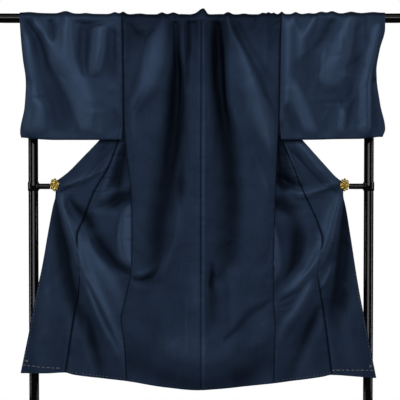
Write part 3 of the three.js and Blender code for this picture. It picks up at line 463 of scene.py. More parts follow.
# How far the cloth stands off the top of the pole.
def crest(x):
    return sum(1.5 * height * np.exp(-(((x - middle) / width) ** 2)) for middle, width, height in crests)


def bow(x):
    return cloth["poleBow"] * np.maximum(0, 1 - (x / cloth["bowSpan"]) ** 2)


def hemmed(x, drop):
    start, end = cloth["stretchFrom"], cloth["stretchTo"]
    hem = read(hemLine, "x", "drop", x)
    return np.where(drop > start, start + (drop - start) * (hem - start) / (end - start), drop)


def overPole(run, lift=0):
    radius = cloth["drapeRadius"]
    angle = np.clip(run / radius, -math.pi / 2, math.pi / 2)
    hanging = np.maximum(np.abs(run) - quarter, 0)
    depth = np.sin(angle) * (radius + lift)
    return depth, radius - np.cos(angle) * (radius + lift) + hanging


# The nearest to the pole's middle that cloth hanging beside it can come.
def clearOfPole(drop):
    radius = cloth["poleClearance"]
    return np.sqrt(np.maximum(0, radius**2 - (drop - cloth["drapeRadius"]) ** 2))


def wingSwell(x, drop):
    small = unevenness(x, drop, waviness["wing"]) + crimps(x, drop, *handling["wing"])
    swell = 0.8 * relief(wingFolds, x, drop) + small
    reach = clipHold["reach"]
    held = np.exp(-(((np.abs(x) - clipHold["out"]) / reach) ** 2) - ((drop - clipHold["drop"]) / reach) ** 2)
    return swell * ramp(drop, 440, 520) * (1 - held)


def backSwell(x, drop):
    waves = unevenness(x, drop, waviness["back"]) + crimps(x, drop, *handling["back"])
    return 0.75 * relief(backFolds, x, drop, widen=1.1, sharpen=0.8, hollow=1.25) + waves * ramp(drop, 10, 70)


# Painted shade that each layer's hollows take and painted highlight on its ridges, wider and stronger than
# their relief.
def backPaintedShade(x, drop):
    swell = relief(backFolds, x, drop, widen=1.05, hollow=1.45)
    swell = swell + 0.5 * unevenness(x, drop, waviness["back"]) + 2 * crimps(x, drop, *handling["back"])
    # A painted highlight on the allowance's raised strip beside the middle seam.
    strip = seamStrip(x) * mix(0.06, 0.32, ramp(drop, 250, 550))
    tone = foldShade(swell) * 0.9 - strip * (1 - foldShade(swell))
    # Painted shade darkens the back near its top, and faintly down to a drop of 400 to 560 mm.
    return mix(tone, 1, 0.47 * ramp(drop, 190, 10) + 0.08 * ramp(drop, 560, 400))


def wingPaintedShade(x, drop):
    swell = relief(wingFolds, x, drop, widen=1.05) + 2 * crimps(x, drop, *handling["wing"])
    return 0.8 * foldShade(swell, 1.3) * ramp(drop, 440, 520)


# The allowance of the middle seam lies to the right of it.
def seamStrip(x):
    width = cloth["allowance"]
    return smooth(x / 2) * smooth((width - x) / 4)


# Points in metres, in the frame's place.
def place(sign, out, depth, drop):
    x = sign * out
    height = -drop - bow(x) * (1 - smooth(drop / cloth["armholeDrop"]))
    x, depth, height = np.broadcast_arrays(x, depth, height)
    return np.stack([x * mm, depth * mm + poleMiddleY, height * mm + clothTop], axis=-1)


def placed(name, data):
    holder = bpy.data.objects.new(name, data)
    bpy.context.scene.collection.objects.link(holder)
    return holder


def evenly(points, spacing):
    lengths = np.concatenate([[0], np.cumsum(np.linalg.norm(np.diff(points, axis=0), axis=1))])
    count = max(2, round(lengths[-1] / spacing))
    return np.interp(np.linspace(0, lengths[-1], count + 1), lengths, np.arange(len(points)))


# The seam of the collar and what follows it down to the hem, as rows at even distances.
def frontRows(side):
    sections = table(collarColumns, neckSections + wingSections[side])
    count = len(sections["seamOut"])
    sections["step"] = np.arange(count, dtype=float)
    fine = np.linspace(0, count - 1, 60 * count)
    path = np.stack([read(sections, "step", name, fine) for name in ("seamOut", "seamRun")], axis=1)
    steps = np.interp(evenly(path, cloth["spacing"]), np.arange(len(fine)), fine)
    rows = {name: read(sections, "step", name, steps) for name in collarColumns.split()}
    rows["drop"] = overPole(rows["seamRun"])[1]
    rows["upper"] = np.ones(len(steps), bool)
    edge = frontEdge[side]
    drops = np.linspace(edge["drop"][0], cloth["stretchTo"], 120)[1:]
    lower = {
        "seamOut": read(edge, "drop", "out", drops),
        "seamRun": drops - cloth["drapeRadius"] + quarter,
        "depth": read(edge, "drop", "depth", drops),
        "drop": drops,
        "roll": np.zeros(len(drops)),
        "upper": np.zeros(len(drops), bool),
    }
    return {name: np.concatenate([rows[name], lower[name]]) for name in lower}, rows


# Fractions of a width, close together beside the seams at its ends.
def acrossWidth(whole):
    beside = np.array([0, 0.9, 1.8, 3, 4.6, 6.8])
    count = round((whole - 2 * beside[-1]) / cloth["spacing"])
    inner = np.linspace(beside[-1], whole - beside[-1], count + 1)
    return (np.concatenate([beside[:-1], inner, whole - beside[-2::-1]]) / whole)[None, :]


# A wall of cloth about a grid of points, with its UV map in metres of flat cloth and its painted shade as a
# point attribute.
def clothWall(name, grid, shade, thickness, ring=False):
    flat = flatMap(grid)
    rows, columns = grid.shape[:2]
    wrapped = np.concatenate([grid[-1:], grid, grid[:1]]) if ring else None
    down = (wrapped[2:] - wrapped[:-2]) if ring else np.gradient(grid, axis=0)
    across = np.gradient(grid, axis=1)
    normal = np.cross(across, down)
    normal /= np.maximum(np.linalg.norm(normal, axis=2, keepdims=True), 1e-12)
    half = thickness * mm / 2
    points = np.concatenate([grid + normal * half, grid - normal * half]).reshape(-1, 3)
    index = np.arange(rows * columns).reshape(rows, columns)
    follow = np.roll(index, -1, axis=0) if ring else index
    top = index if ring else index[:-1]
    low = follow if ring else index[1:]
    under = rows * columns
    sheet = np.stack([top[:, :-1], low[:, :-1], low[:, 1:], top[:, 1:]], axis=-1).reshape(-1, 4)
    lining = sheet[:, ::-1] + under

    def rim(a, b):
        return np.stack([a, b, b + under, a + under], axis=-1).reshape(-1, 4)

    parts = [sheet, lining, rim(low[:, 0], top[:, 0]), rim(top[:, -1], low[:, -1])]
    if not ring:
        parts += [rim(index[0, :-1], index[0, 1:]), rim(index[-1, 1:], index[-1, :-1])]
    faces = np.concatenate(parts)
    mesh = bpy.data.meshes.new(name)
    mesh.from_pydata(points.tolist(), [], faces.tolist())
    uv = mesh.uv_layers.new(name="flatCloth")
    both = np.concatenate([flat.reshape(-1, 2), flat.reshape(-1, 2)])
    loops = np.zeros(len(mesh.loops), np.int32)
    mesh.loops.foreach_get("vertex_index", loops)
    uv.data.foreach_set("uv", both[loops].ravel())
    paintedShade = mesh.attributes.new("paintedShade", "FLOAT", "POINT")
    paintedShade.data.foreach_set("value", np.tile(np.broadcast_to(shade, (rows, columns)).ravel(), 2))
    mesh.update()
    mesh.shade_smooth()
    piece = placed(name, mesh)
    turnOutwards(piece)
    mesh.set_sharp_from_angle(angle=math.radians(70))
    return piece


def turnOutwards(piece):
    shape = bmesh.new()
    shape.from_mesh(piece.data)
    if shape.calc_volume(signed=True) < 0:
        bmesh.ops.reverse_faces(shape, faces=shape.faces)
        shape.to_mesh(piece.data)
    shape.free()


# Painted shade along a seam, from 0 to 1, by how near a point is to it.
def seamShade(distance):
    return np.exp(-((distance / cloth["paintedSeamShadeReach"]) ** 2))


# Painted shade above 0 for the light a hollow loses, painted highlight below 0 on a ridge.
def foldShade(swell, strength=1):
    low, high = cloth["hollow"], cloth["ridge"]
    hollow = smooth((-swell * strength - low[0]) / (low[1] - low[0]))
    return hollow - smooth((swell * strength - high[0]) / (high[1] - high[0]))


# The panels' seams are folded deeper towards the hem, so their painted shade widens there.
def lowerSeam(drop):
    return 1 + 0.8 * ramp(drop, 1000, 1080)


# The long fold from the clip lies over the overlap panel's seam here, so the seam's painted shade fades.
def underFold(drop):
    return 1 - 0.7 * ramp(drop, 850, 900) * ramp(drop, 1010, 970)


def flatMap(grid):
    steps = np.linalg.norm(np.diff(grid, axis=0), axis=2)
    down = np.concatenate([np.zeros((1, grid.shape[1])), np.cumsum(steps, axis=0)])
    sideways = np.linalg.norm(np.diff(grid, axis=1), axis=2)
    across = np.concatenate([np.zeros((grid.shape[0], 1)), np.cumsum(sideways, axis=1)], axis=1)
    rows = np.broadcast_to(np.median(down, axis=1)[:, None], down.shape)
    return np.stack([across, rows], axis=-1)


# The back of a body length, from the hem up to the neck.
def bodyBack(side, sign):
    columns, line, fanOut = acrossWidth(panelWidth["body"]), sideLine[side], cloth["neckFan"]
    neckline = overPole(neckSections[0][1])[1] + 3
    backDrops = np.linspace(cloth["stretchTo"], fanOut + 8, cloth["backRows"])[:, None]
    innerDrops = mix(backDrops, neckline, smooth(1 - (backDrops - fanOut) / cloth["neckBlend"]))
    drop = mix(innerDrops, backDrops, smooth(columns))
    outer = read(line, "drop", "out", drop)
    out = mix(cloth["seamGap"] / 2, outer, columns)
    x = sign * out
    fall = hemmed(x, drop)
    depth = mix(read(backMiddle, "drop", "depth", drop), read(line, "drop", "back", drop), columns**1.6)
    depth = depth - backSwell(x, fall) * smooth((1 - columns) * 9)
    depth = depth + seamGroove(out, fall, "middle") + seamGroove(outer - out, fall, "side") - 1.2 * seamStrip(x)
    # Painted shade along the middle seam, fainter towards the hem, and along the side seam.
    middleSeamShade = mix(0.55, 0.32, ramp(fall, 1040, 1160)) * seamShade(out)
    shade = mix(backPaintedShade(x, fall), 1, np.maximum(middleSeamShade, seamShade(outer - out)))
    return place(sign, out, np.minimum(depth, -clearOfPole(fall)), fall), shade


# Its top over the pole, and its front down to the hem.
def bodyFront(side, sign, rows):
    gap, line, seam = cloth["seamGap"], sideLine[side], okumiSeam[side]
    columns = acrossWidth(panelWidth["body"])
    turning = rows["seamRun"] < cloth["neckTurn"]
    last = int(np.argmin(turning))
    run = rows["seamRun"][:, None]
    first = -cloth["neckFan"] - quarter + cloth["drapeRadius"]
    spread = np.interp(np.arange(len(run)), [0, last], [first, rows["seamRun"][last]])
    outerRun = np.where(turning[:, None], spread[:, None], run)
    run = mix(run, outerRun, smooth(columns * 1.6))
    drop = overPole(run)[1]
    over = mix(rows["seamOut"][:, None], read(line, "drop", "out", drop), columns)
    lift = backSwell(sign * over, drop) * smooth((quarter - run) / (2 * quarter)) * smooth((1 - columns) * 9)
    lift = lift + crest(sign * over) * smooth(1.1 - np.abs(run) / quarter)
    lift = lift - seamGroove(over, drop, "middle") * (run < -quarter) * (rows["seamOut"][:, None] < 1)
    least = np.where(run < -quarter, clearOfPole(drop) - cloth["drapeRadius"], -0.8)
    depth, drop = overPole(run, np.where(run < quarter, np.maximum(lift, least), 0))
    belowTip = rows["drop"] >= seam["drop"][0]

    def fromTip(column, above):
        return np.where(belowTip, read(seam, "drop", column, rows["drop"]), rows[above])[:, None]

    seamOut, seamDepth, roll = fromTip("out", "seamOut"), fromTip("depth", "depth"), fromTip("roll", "roll")
    armhole = cloth["armholeDrop"]
    outer = read(line, "drop", "out", drop) - 0.8 * ramp(drop, armhole, armhole + 60)
    out = mix(seamOut + gap, outer, columns) - roll * (3 * columns * (1 - columns))
    x = sign * out
    edge = read(line, "drop", "front", drop)
    hanging = run >= quarter
    rolled = mix(seamDepth, edge, smooth(columns))
    behind = mix(mix(seamDepth, edge, columns), rolled, np.minimum(roll / 60, 1))
    depth = np.where(hanging, mix(depth, behind, smooth((run - quarter) / 30)), depth)
    fall = hemmed(x, drop)
    onWing = mix(1, smooth((out - outer + 40) / 60), ramp(fall, 1000, 900))
    depth = depth - wingSwell(x, fall) * onWing * smooth((1 - columns) * 4) * hanging
    groove = seamGroove((columns * (outer - seamOut)), fall, "overlap") * ramp(fall, 420, 460)
    groove = groove + seamGroove((1 - columns) * (outer - seamOut), fall, "side") * ramp(fall, 960, 1020)
    # Painted shade and highlight of the folds, painted shade along the seams, and painted shade in the pocket
    # under the sleeve, stronger on the right.
    shade = backPaintedShade(sign * over, drop) * (run < quarter) + wingPaintedShade(x, fall) * hanging
    overlapSeamShade = seamShade(columns * panelWidth["body"] / lowerSeam(fall)) * underFold(fall)
    underSleeveShade = ramp(fall, 385, 400) * ramp(fall, 660, 490) * np.exp(-(((outer - out) / 26) ** 2))
    seams = np.maximum(overlapSeamShade, seamShade((1 - columns) * panelWidth["body"]))
    shade = mix(shade, 1, np.maximum(seams, (0.65 + 0.2 * sign) * underSleeveShade))
    return place(sign, out, depth + groove, fall), shade


def bodyGrid(side, sign):
    rows, upperRows = frontRows(side)
    back, backShade = bodyBack(side, sign)
    front, frontShade = bodyFront(side, sign, rows)
    return np.concatenate([back, front]), np.concatenate([backShade, frontShade]), rows, upperRows


def okumiGrid(side, sign, rows):
    seam, gap = okumiSeam[side], cloth["seamGap"]
    below = rows["drop"] > seam["drop"][0] + 1
    rows = {name: values[below][:, None] for name, values in rows.items()}
    columns, drop = acrossWidth(panelWidth["okumi"]), rows["drop"]
    inner = read(seam, "drop", "out", drop) + 1.5 * gap
    out = mix(inner, rows["seamOut"] - gap, columns)
    x = sign * out
    fall = hemmed(x, drop) + read(edgeSag[side], "drop", "sag", drop) * columns
    depth = mix(read(seam, "drop", "depth", drop), rows["depth"], columns)
    depth = depth - wingSwell(x, fall) + seamGroove(out - inner, fall, "overlap")
    collarSide = seamGroove(rows["seamOut"] - out, fall, "collar")
    # Painted shade along the seams, faint beside the collar, over the folds' painted shade and highlight.
    overlapSeamShade = seamShade((out - inner) / lowerSeam(fall)) * underFold(fall)
    seams = np.maximum(overlapSeamShade, 0.3 * seamShade(rows["seamOut"] - out) * rows["upper"])
    depth = depth + np.where(rows["upper"], 0.5 * collarSide, 0)
    return place(sign, out, depth, fall), mix(wingPaintedShade(x, fall), 1, seams)


def collarHalf(side, sign, rows):
    rows = {name: values[:, None] for name, values in rows.items()}
    outwards, along = rows["freeOut"] - rows["seamOut"], rows["freeRun"] - rows["seamRun"]
    wide = np.sqrt(outwards**2 + along**2 + rows["lift"] ** 2)
    start = (2 * cloth["seamGap"] + 1.2 * smooth(rows["lift"] / 30)) / wide
    t = mix(start, 1, acrossWidth(panelWidth["collar"]))
    run = mix(rows["seamRun"], rows["freeRun"], t)
    out = mix(rows["seamOut"], rows["freeOut"], t)
    x = sign * out
    depth, drop = overPole(run, rows["lift"] * t)
    fromPeak = x - collarPeak["middle"]
    peak = collarPeak["height"] * np.exp(-((fromPeak / np.where(fromPeak < 0, *collarPeak["slopes"])) ** 2))
    peak = peak * np.sin(math.pi * np.minimum(1, t * 1.1))
    behind = (rows["depth"] - cloth["drapeRadius"]) * smooth((run - quarter) / 30)
    depth = np.where(run > quarter, cloth["drapeRadius"] + rows["lift"] * t, depth)
    drop = drop + read(edgeSag[side], "drop", "sag", rows["drop"])
    depth = depth - wingSwell(x, drop) + 0.5 * seamGroove((t - start) * wide, drop, "collar") * (run > quarter)
    # Painted shade and highlight from the wing's and the back's folds, and faint painted shade beside the
    # collar's seam.
    tone = wingPaintedShade(x, drop) + 0.85 * backPaintedShade(x, drop) * smooth((quarter - run) / 12)
    tone = mix(tone, 1, 0.12 * seamShade(t * wide))
    return place(sign, out, depth + np.maximum(behind, 0), drop - peak), tone


# Rows go up the near side, over the pole, down the far side and round the bottom's fold.
def sleeveGrid(side, sign):
    radius, lowest, armhole = cloth["drapeRadius"], cloth["sleeveDrop"], cloth["armholeDrop"]
    hang = np.linspace(lowest - 5, radius + 4, sleeveRows["hanging"])
    turn = np.linspace(-math.pi / 2, math.pi / 2, sleeveRows["overPole"])
    corner = np.linspace(math.pi / 2, -math.pi / 2, sleeveRows["bottom"])[1:-1]
    around = [(hang, -1.0, 0), ((1 - np.cos(turn)) * radius, np.sin(turn), 1), (hang[::-1], 1.0, 0),
              (lowest - 5 + 4 * np.cos(corner), np.sin(corner), 0)]
    drop = np.concatenate([drops for drops, _, _ in around])[:, None]
    face = np.concatenate([faces * np.ones(len(drops)) for drops, faces, _ in around])[:, None]
    onPole = np.concatenate([np.full(len(drops), over) for drops, _, over in around])[:, None] > 0
    t = acrossWidth(panelWidth["sleeve"])
    line, cuff = sideLine[side], read(cuffLine[side], "drop", "out", drop)
    atArmhole = drop <= armhole
    inner = read(line, "drop", "out", np.minimum(drop, armhole)) + 2 * cloth["seamGap"]
    inner = inner + 4 * ramp(drop, armhole, armhole + 3) + 6 * ramp(drop, armhole, armhole + 75)
    out = mix(inner, cuff, t)
    x = sign * out
    free = mix(radius, cloth["bottomHalfGap"], smooth((drop - 36) / (lowest - 36)) ** 0.8)
    near, far = read(line, "drop", "back", drop), read(line, "drop", "front", drop)
    atBody = smooth(1 - (out - inner) / 90) * atArmhole
    sewn = cloth["thickness"] / 2 + 0.4
    seamedCuff = smooth((drop - cloth["cuffOpening"] + 20) / 50) * smooth(1 - (cuff - out) / 45)
    seamedBody = smooth((drop - armhole - 5) / 30) * smooth(1 - (out - inner) / 30)
    half = mix(free, (far - near) / 2, atBody)
    half = mix(half, sewn, np.maximum(seamedCuff, seamedBody))
    middle = (near + far) / 2 * atBody
    middle = middle + read(cuffLine[side], "drop", "middle", drop) * smooth(1 - (cuff - out) / 80)
    middle = np.where(onPole, 0, middle)
    fade = smooth(t * 8) * smooth((1 - t) * 10 + 0.3) * smooth((lowest - drop) / 50)
    small = crimps(x, drop, *handling["sleeve"])
    waves = (unevenness(x, drop, waviness["sleeve"]) + small) * ramp(drop, 20, 70)
    nearSwell = 0.8 * relief(sleeveFolds, x, drop, widen=1.15, sharpen=0.8) * fade + waves
    farSwell = relief(farFolds, x, drop) * fade + waves
    swell = np.where(face < 0, nearSwell, -farSwell)
    least = np.maximum(0.8 * np.maximum(half - sewn, 0), 1e-6)
    swell = np.where(swell * face > 0, least * np.tanh(swell / least), swell)
    groove = seamGroove(out - inner, drop, "side") * atArmhole
    depth = middle + face * half - swell - groove * face
    clear = clearOfPole(drop)
    depth = np.where(face < 0, np.minimum(depth, -clear), np.where(face > 0, np.maximum(depth, clear), depth))
    onTop = smooth(1.1 - np.abs(np.arcsin(face)) / 1.57)
    lift = np.maximum(mix(nearSwell, -farSwell, (1 + face) / 2) + crest(x) * onTop, -0.8)
    depth = np.where(onPole, face * (radius + lift), depth)
    drop = np.where(onPole, radius - (radius - drop) * (1 + lift / radius), drop)
    atArmhole = drop <= armhole
    # Painted shade in hollows and painted highlight on ridges, a slight painted highlight over the whole
    # sleeve, a painted strip beside the armhole seam, darker on the left sleeve and lighter on the right, and
    # painted shade in that seam.
    tone = relief(sleeveFolds, x, drop, widen=1.15, sharpen=0.9) + 1.6 * small
    tone = foldShade(tone * fade, 2.4) * (face < 0.5)
    tone = np.where(tone > 0, 0.42 * tone, 0.9 * tone)
    tone = mix(tone, -1, 0.09) - sign * 0.3 * np.exp(-(((out - inner) / 13) ** 2)) * atArmhole
    tone = mix(tone, 1, seamShade((out - inner) / 1.5) * atArmhole)
    sag = read(sleeveSag, "x", "sag", x) * ramp(drop, 250, 468)
    return place(sign, out, depth, drop + sag), tone


def limits(node):
    low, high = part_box(node)
    return np.array(low) / mm, np.array(high) / mm


# A closed piece from sets of loops, each set's loops following one another, in millimetres.
def ringPiece(name, *sets, angle=35):
    points, faces = [], []
    for rings, joined in sets:
        count, sides = rings.shape[:2]
        index = np.arange(count * sides).reshape(count, sides) + sum(len(part) for part in points)
        following = np.roll(index, -1, axis=0) if joined else index[1:]
        current = index if joined else index[:-1]
        corners = [current, np.roll(current, -1, axis=1), np.roll(following, -1, axis=1), following]
        quads = np.stack(corners, axis=-1)
        faces += quads.reshape(-1, 4).tolist()
        points.append(rings.reshape(-1, 3))
        if not joined:
            for loop, ring in ((index[0][::-1], rings[0]), (index[-1], rings[-1])):
                middle = sum(len(part) for part in points)
                points.append(ring.mean(axis=0)[None])
                faces += [[int(a), int(b), middle] for a, b in zip(loop, np.roll(loop, -1))]
    mesh = bpy.data.meshes.new(name)
    mesh.from_pydata((np.concatenate(points) * mm).tolist(), [], faces)
    mesh.update()
    mesh.shade_smooth()
    piece = placed(name, mesh)
    shape = bmesh.new()
    shape.from_mesh(mesh)
    bmesh.ops.recalc_face_normals(shape, faces=shape.faces)
    shape.to_mesh(mesh)
    shape.free()
    mesh.set_sharp_from_angle(angle=math.radians(angle))
    return piece


# Circles along rows of x, y, z and radius, square to one direction or to their own path.
def circles(rows, axis=None, sides=48):
    rows = np.array(rows, float)
    points, radii = rows[:, :3], rows[:, 3:]
    along = np.gradient(points, axis=0) if axis is None else np.tile(np.array(axis, float), (len(rows), 1))
    first = np.cross(along, (0, 0, 1) if abs(along[0][2]) < 0.5 else (1, 0, 0))
    first /= np.linalg.norm(first, axis=1, keepdims=True)
    second = np.cross(along, first)
    second /= np.linalg.norm(second, axis=1, keepdims=True)
    turn = np.linspace(0, 2 * math.pi, sides, endpoint=False)[None, :, None]
    return points[:, None] + radii[:, None] * (np.cos(turn) * first[:, None] + np.sin(turn) * second[:, None])


# The same along one axis through a point, with rows of distance and radius.
def turned(axis, middle, rows, sides=48):
    direction = np.eye(3)["xyz".index(axis)]
    middle = np.array(middle, float) * (1 - direction)
    return circles([(*(middle + direction * along), radius) for along, radius in rows], direction, sides)


root = "root"


def finish(piece, slot, *nodes):
    piece.data.materials.clear()
    piece.data.materials.append(finishes[slot])
    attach(piece, root)
    if nodes:
        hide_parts(*nodes)
    return piece


# Shader maths as expressions.
class Signal:
    def __init__(self, shader, socket):
        self.shader, self.socket = shader, socket

    def maths(self, operation, *values):
        return self.shader.node("ShaderNodeMath", {"operation": operation}, *values)

    def __add__(self, other):
        return self.maths("ADD", self, other)

    def __mul__(self, other):
        return self.maths("MULTIPLY", self, other)



class Shader:
    def __init__(self, name):
        self.material = bpy.data.materials.new(name)
        self.material.use_nodes = True
        self.tree = self.material.node_tree
        self.surface = self.tree.nodes["Principled BSDF"]

    def node(self, kind, settings=None, *values, output=0, **named):
        made = self.tree.nodes.new(kind)
        for key, value in (settings or {}).items():
            setattr(made, key, value)
        for socket, value in [*enumerate(values), *named.items()]:
            self.set(made.inputs[socket], value)
        return Signal(self, made.outputs[output])

    def noise(self, at, scale, detail, **named):
        return self.node("ShaderNodeTexNoise", None, at, Scale=scale, Detail=detail, **named)

    def here(self):
        return self.node("ShaderNodeTexCoord", output=3)

    def set(self, socket, value):
        if isinstance(value, Signal):
            self.tree.links.new(value.socket, socket)
        elif value is not None:
            socket.default_value = value

    def give(self, **values):
        for name, value in values.items():
            self.set(self.surface.inputs[name.replace("_", " ")], value)
        return self.material

    def axes(self, source):
        parts = self.tree.nodes.new("ShaderNodeSeparateXYZ")
        self.tree.links.new(source.socket, parts.inputs[0])
        return [Signal(self, parts.outputs[i]) for i in range(3)]

    def blend(self, factor, first, second):
        made = self.tree.nodes.new("ShaderNodeMix")
        made.data_type = "RGBA"
        self.set(made.inputs[0], factor)
        self.set(made.inputs[6], first if isinstance(first, Signal) else (*first, 1))
        self.set(made.inputs[7], second if isinstance(second, Signal) else (*second, 1))
        return Signal(self, made.outputs[2])

    def bump(self, height, distance, strength=1.0, under=None):
        settings = {"Strength": strength, "Distance": distance, "Height": height, "Normal": under}
        return self.node("ShaderNodeBump", None, **settings)


silk = {
    "deep": (0.0135, 0.0245, 0.050),
    "bright": (0.0225, 0.0395, 0.077),
    # Painted colours: a near-black for painted shade in hollows and seams, a lighter navy for a painted
    # highlight on ridges, and how far the painted shade darkens.
    "paintedShade": (0.0003, 0.0011, 0.0032),
    "paintedHighlight": (0.040, 0.067, 0.122),
    "paintedShadeStrength": 0.97,
    "metallic": 0.7,
    "roughness": 0.58,
    "rumple": 0.007,
    "threadPitch": 0.0011,
    "sheen": 0.03,
    "sheenTint": (0.30, 0.42, 0.72, 1),
}


# A fine weave with slubs along it and ribs across it, rumpled, with painted shade in hollows and seams and a
# painted highlight on ridges.
def makeSilk():
    shader = Shader("navySilk")
    flat = shader.node("ShaderNodeUVMap", {"uv_map": "flatCloth"})

    def stretched(*scale):
        return shader.node("ShaderNodeMapping", None, flat, Scale=scale)

    u, v, _ = shader.axes(flat)
    turns = 2 * math.pi / silk["threadPitch"]
    weave = (u * turns).maths("SINE", u * turns) * (v * turns).maths("SINE", v * turns)
    slubs = shader.noise(stretched(14, 520, 1), 1.0, 2.0)
    ribs = shader.noise(stretched(420, 10, 1), 1.0, 1.0)
    broad = shader.noise(flat, 7.0, 2.0)
    tone = broad * 0.5 + slubs * 0.3 + ribs * 0.2
    tone = shader.node("ShaderNodeMapRange", None, tone, 0.35, 0.65, 0.0, 1.0)
    # The point attribute is painted shade above 0 and a painted highlight below 0; it blends the colour towards
    # the dark or the light one.
    paintedShade = shader.node("ShaderNodeAttribute", {"attribute_name": "paintedShade"}, output=2)
    hollow = paintedShade.maths("MAXIMUM", paintedShade, 0.0)
    ridge = paintedShade.maths("MAXIMUM", paintedShade * -1.0, 0.0)
    colour = shader.blend(tone, silk["deep"], silk["bright"])
    colour = shader.blend(ridge, colour, silk["paintedHighlight"])
    colour = shader.blend(hollow * silk["paintedShadeStrength"], colour, silk["paintedShade"])
    rumple = shader.noise(stretched(9, 5, 1), 1.0, 3.0, Roughness=0.45, Distortion=0.6)
    soft = shader.bump(rumple, silk["rumple"])
    height = weave * 0.25 + slubs * 0.5 + ribs * 0.3
    return shader.give(
        Base_Color=colour,
        Roughness=slubs * 0.12 + (silk["roughness"] - 0.06),
        Normal=shader.bump(height, 0.00012, 0.6, soft),
        Metallic=silk["metallic"],
        Specular_IOR_Level=0.08,
        Sheen_Weight=silk["sheen"],
        Sheen_Roughness=0.4,
        Sheen_Tint=silk["sheenTint"],
    )


def makePaint():
    shader = Shader("blackPaint")
    grain = shader.noise(shader.here(), 900.0, 2.0)
    wear = shader.noise(shader.here(), 22.0, 3.0)
    return shader.give(
        Base_Color=shader.blend(wear, (0.002, 0.002, 0.0022), (0.004, 0.004, 0.0042)),
        Roughness=wear * 0.05 + 0.03,
        Normal=shader.bump(grain, 0.00002, 0.4),
        Specular_IOR_Level=0.2,
    )


def makeGilt():
    shader = Shader("giltMetal")
    crinkle = shader.noise(shader.here(), 260.0, 4.0)
    return shader.give(
        Base_Color=shader.blend(crinkle, (0.31, 0.21, 0.035), (0.68, 0.50, 0.16)),
        Metallic=1.0,
        Roughness=crinkle * 0.2 + 0.14,
        Normal=shader.bump(crinkle, 0.0012, 1.0),
    )


def makeRubber():
    shader = Shader("matRubber")
    grain = shader.noise(shader.here(), 1200.0, 3.0)
    return shader.give(
        Base_Color=shader.blend(grain, (0.008, 0.008, 0.008), (0.016, 0.016, 0.016)),
        Roughness=grain * 0.15 + 0.6,
        Normal=shader.bump(grain, 0.0001, 0.5),
    )


def makeThread():
    shader = Shader("bastingThread")
    fibres = shader.noise(shader.here(), 2500.0, 2.0)
    return shader.give(
        Base_Color=shader.blend(fibres, (0.62, 0.6, 0.56), (0.85, 0.84, 0.8)),
        Roughness=0.8,
        Normal=shader.bump(fibres, 0.0001, 0.5),
    )


finishes = {
    "cloth": makeSilk(),
    "paint": makePaint(),
    "gilt": makeGilt(),
    "rubber": makeRubber(),
    "thread": makeThread(),
}
print("materials made")

sides = {"left": -1, "right": 1}
halves, bodyGrids, okumiGrids = {}, {}, {}
for side, sign in sides.items():
    grid, shade, rows, upperRows = bodyGrid(side, sign)
    bodyGrids[side] = grid
    body = clothWall(f"body_{side}_cloth", grid, shade, cloth["thickness"])
    finish(body, "cloth", f"body_{side}")
    grid, shade = sleeveGrid(side, sign)
    sleeve = clothWall(f"sleeve_{side}_cloth", grid, shade, cloth["thickness"], ring=True)
    finish(sleeve, "cloth", f"sleeve_{side}")
    grid, shade = okumiGrid(side, sign, rows)
    okumiGrids[side] = grid
    okumi = clothWall(f"okumi_{side}_cloth", grid, shade, cloth["thickness"])
    finish(okumi, "cloth", f"okumi_{side}")
    halves[side] = collarHalf(side, sign, upperRows)
    print(f"{side} cloth made")

grid = np.concatenate([halves["left"][0][::-1], halves["right"][0][1:]])
shade = np.concatenate([halves["left"][1][::-1], halves["right"][1][1:]])
collar = clothWall("collar_cloth", grid, shade, cloth["collarThickness"])
finish(collar, "cloth", "collar")
print("collar made")

# White basting left in the fronts: dots along the edges and hems, dashes and a cross at the corners.
basting = {
    "threadRadius": 0.36,
    "standOff": 0.3,
    "dots": {"pitch": 12.5, "length": 3.0},
    "dashes": {"pitch": 18, "length": 15},
    "cross": {"pitch": 90, "length": 15},
    "fromEdge": 5,
    "fromHem": 9,
    "seed": 4,
}
corners = {
    "left": {"cross": (658, 1311), "dashOut": (668, 540), "dashAbove": (31, 18), "edge": (960, 1320),
             "hem": (510, 304)},
    "right": {"cross": (643, 1331), "dashOut": (648, 500), "dashAbove": (29, 18), "edge": (960, 1330),
              "hem": (500, 311)},
}


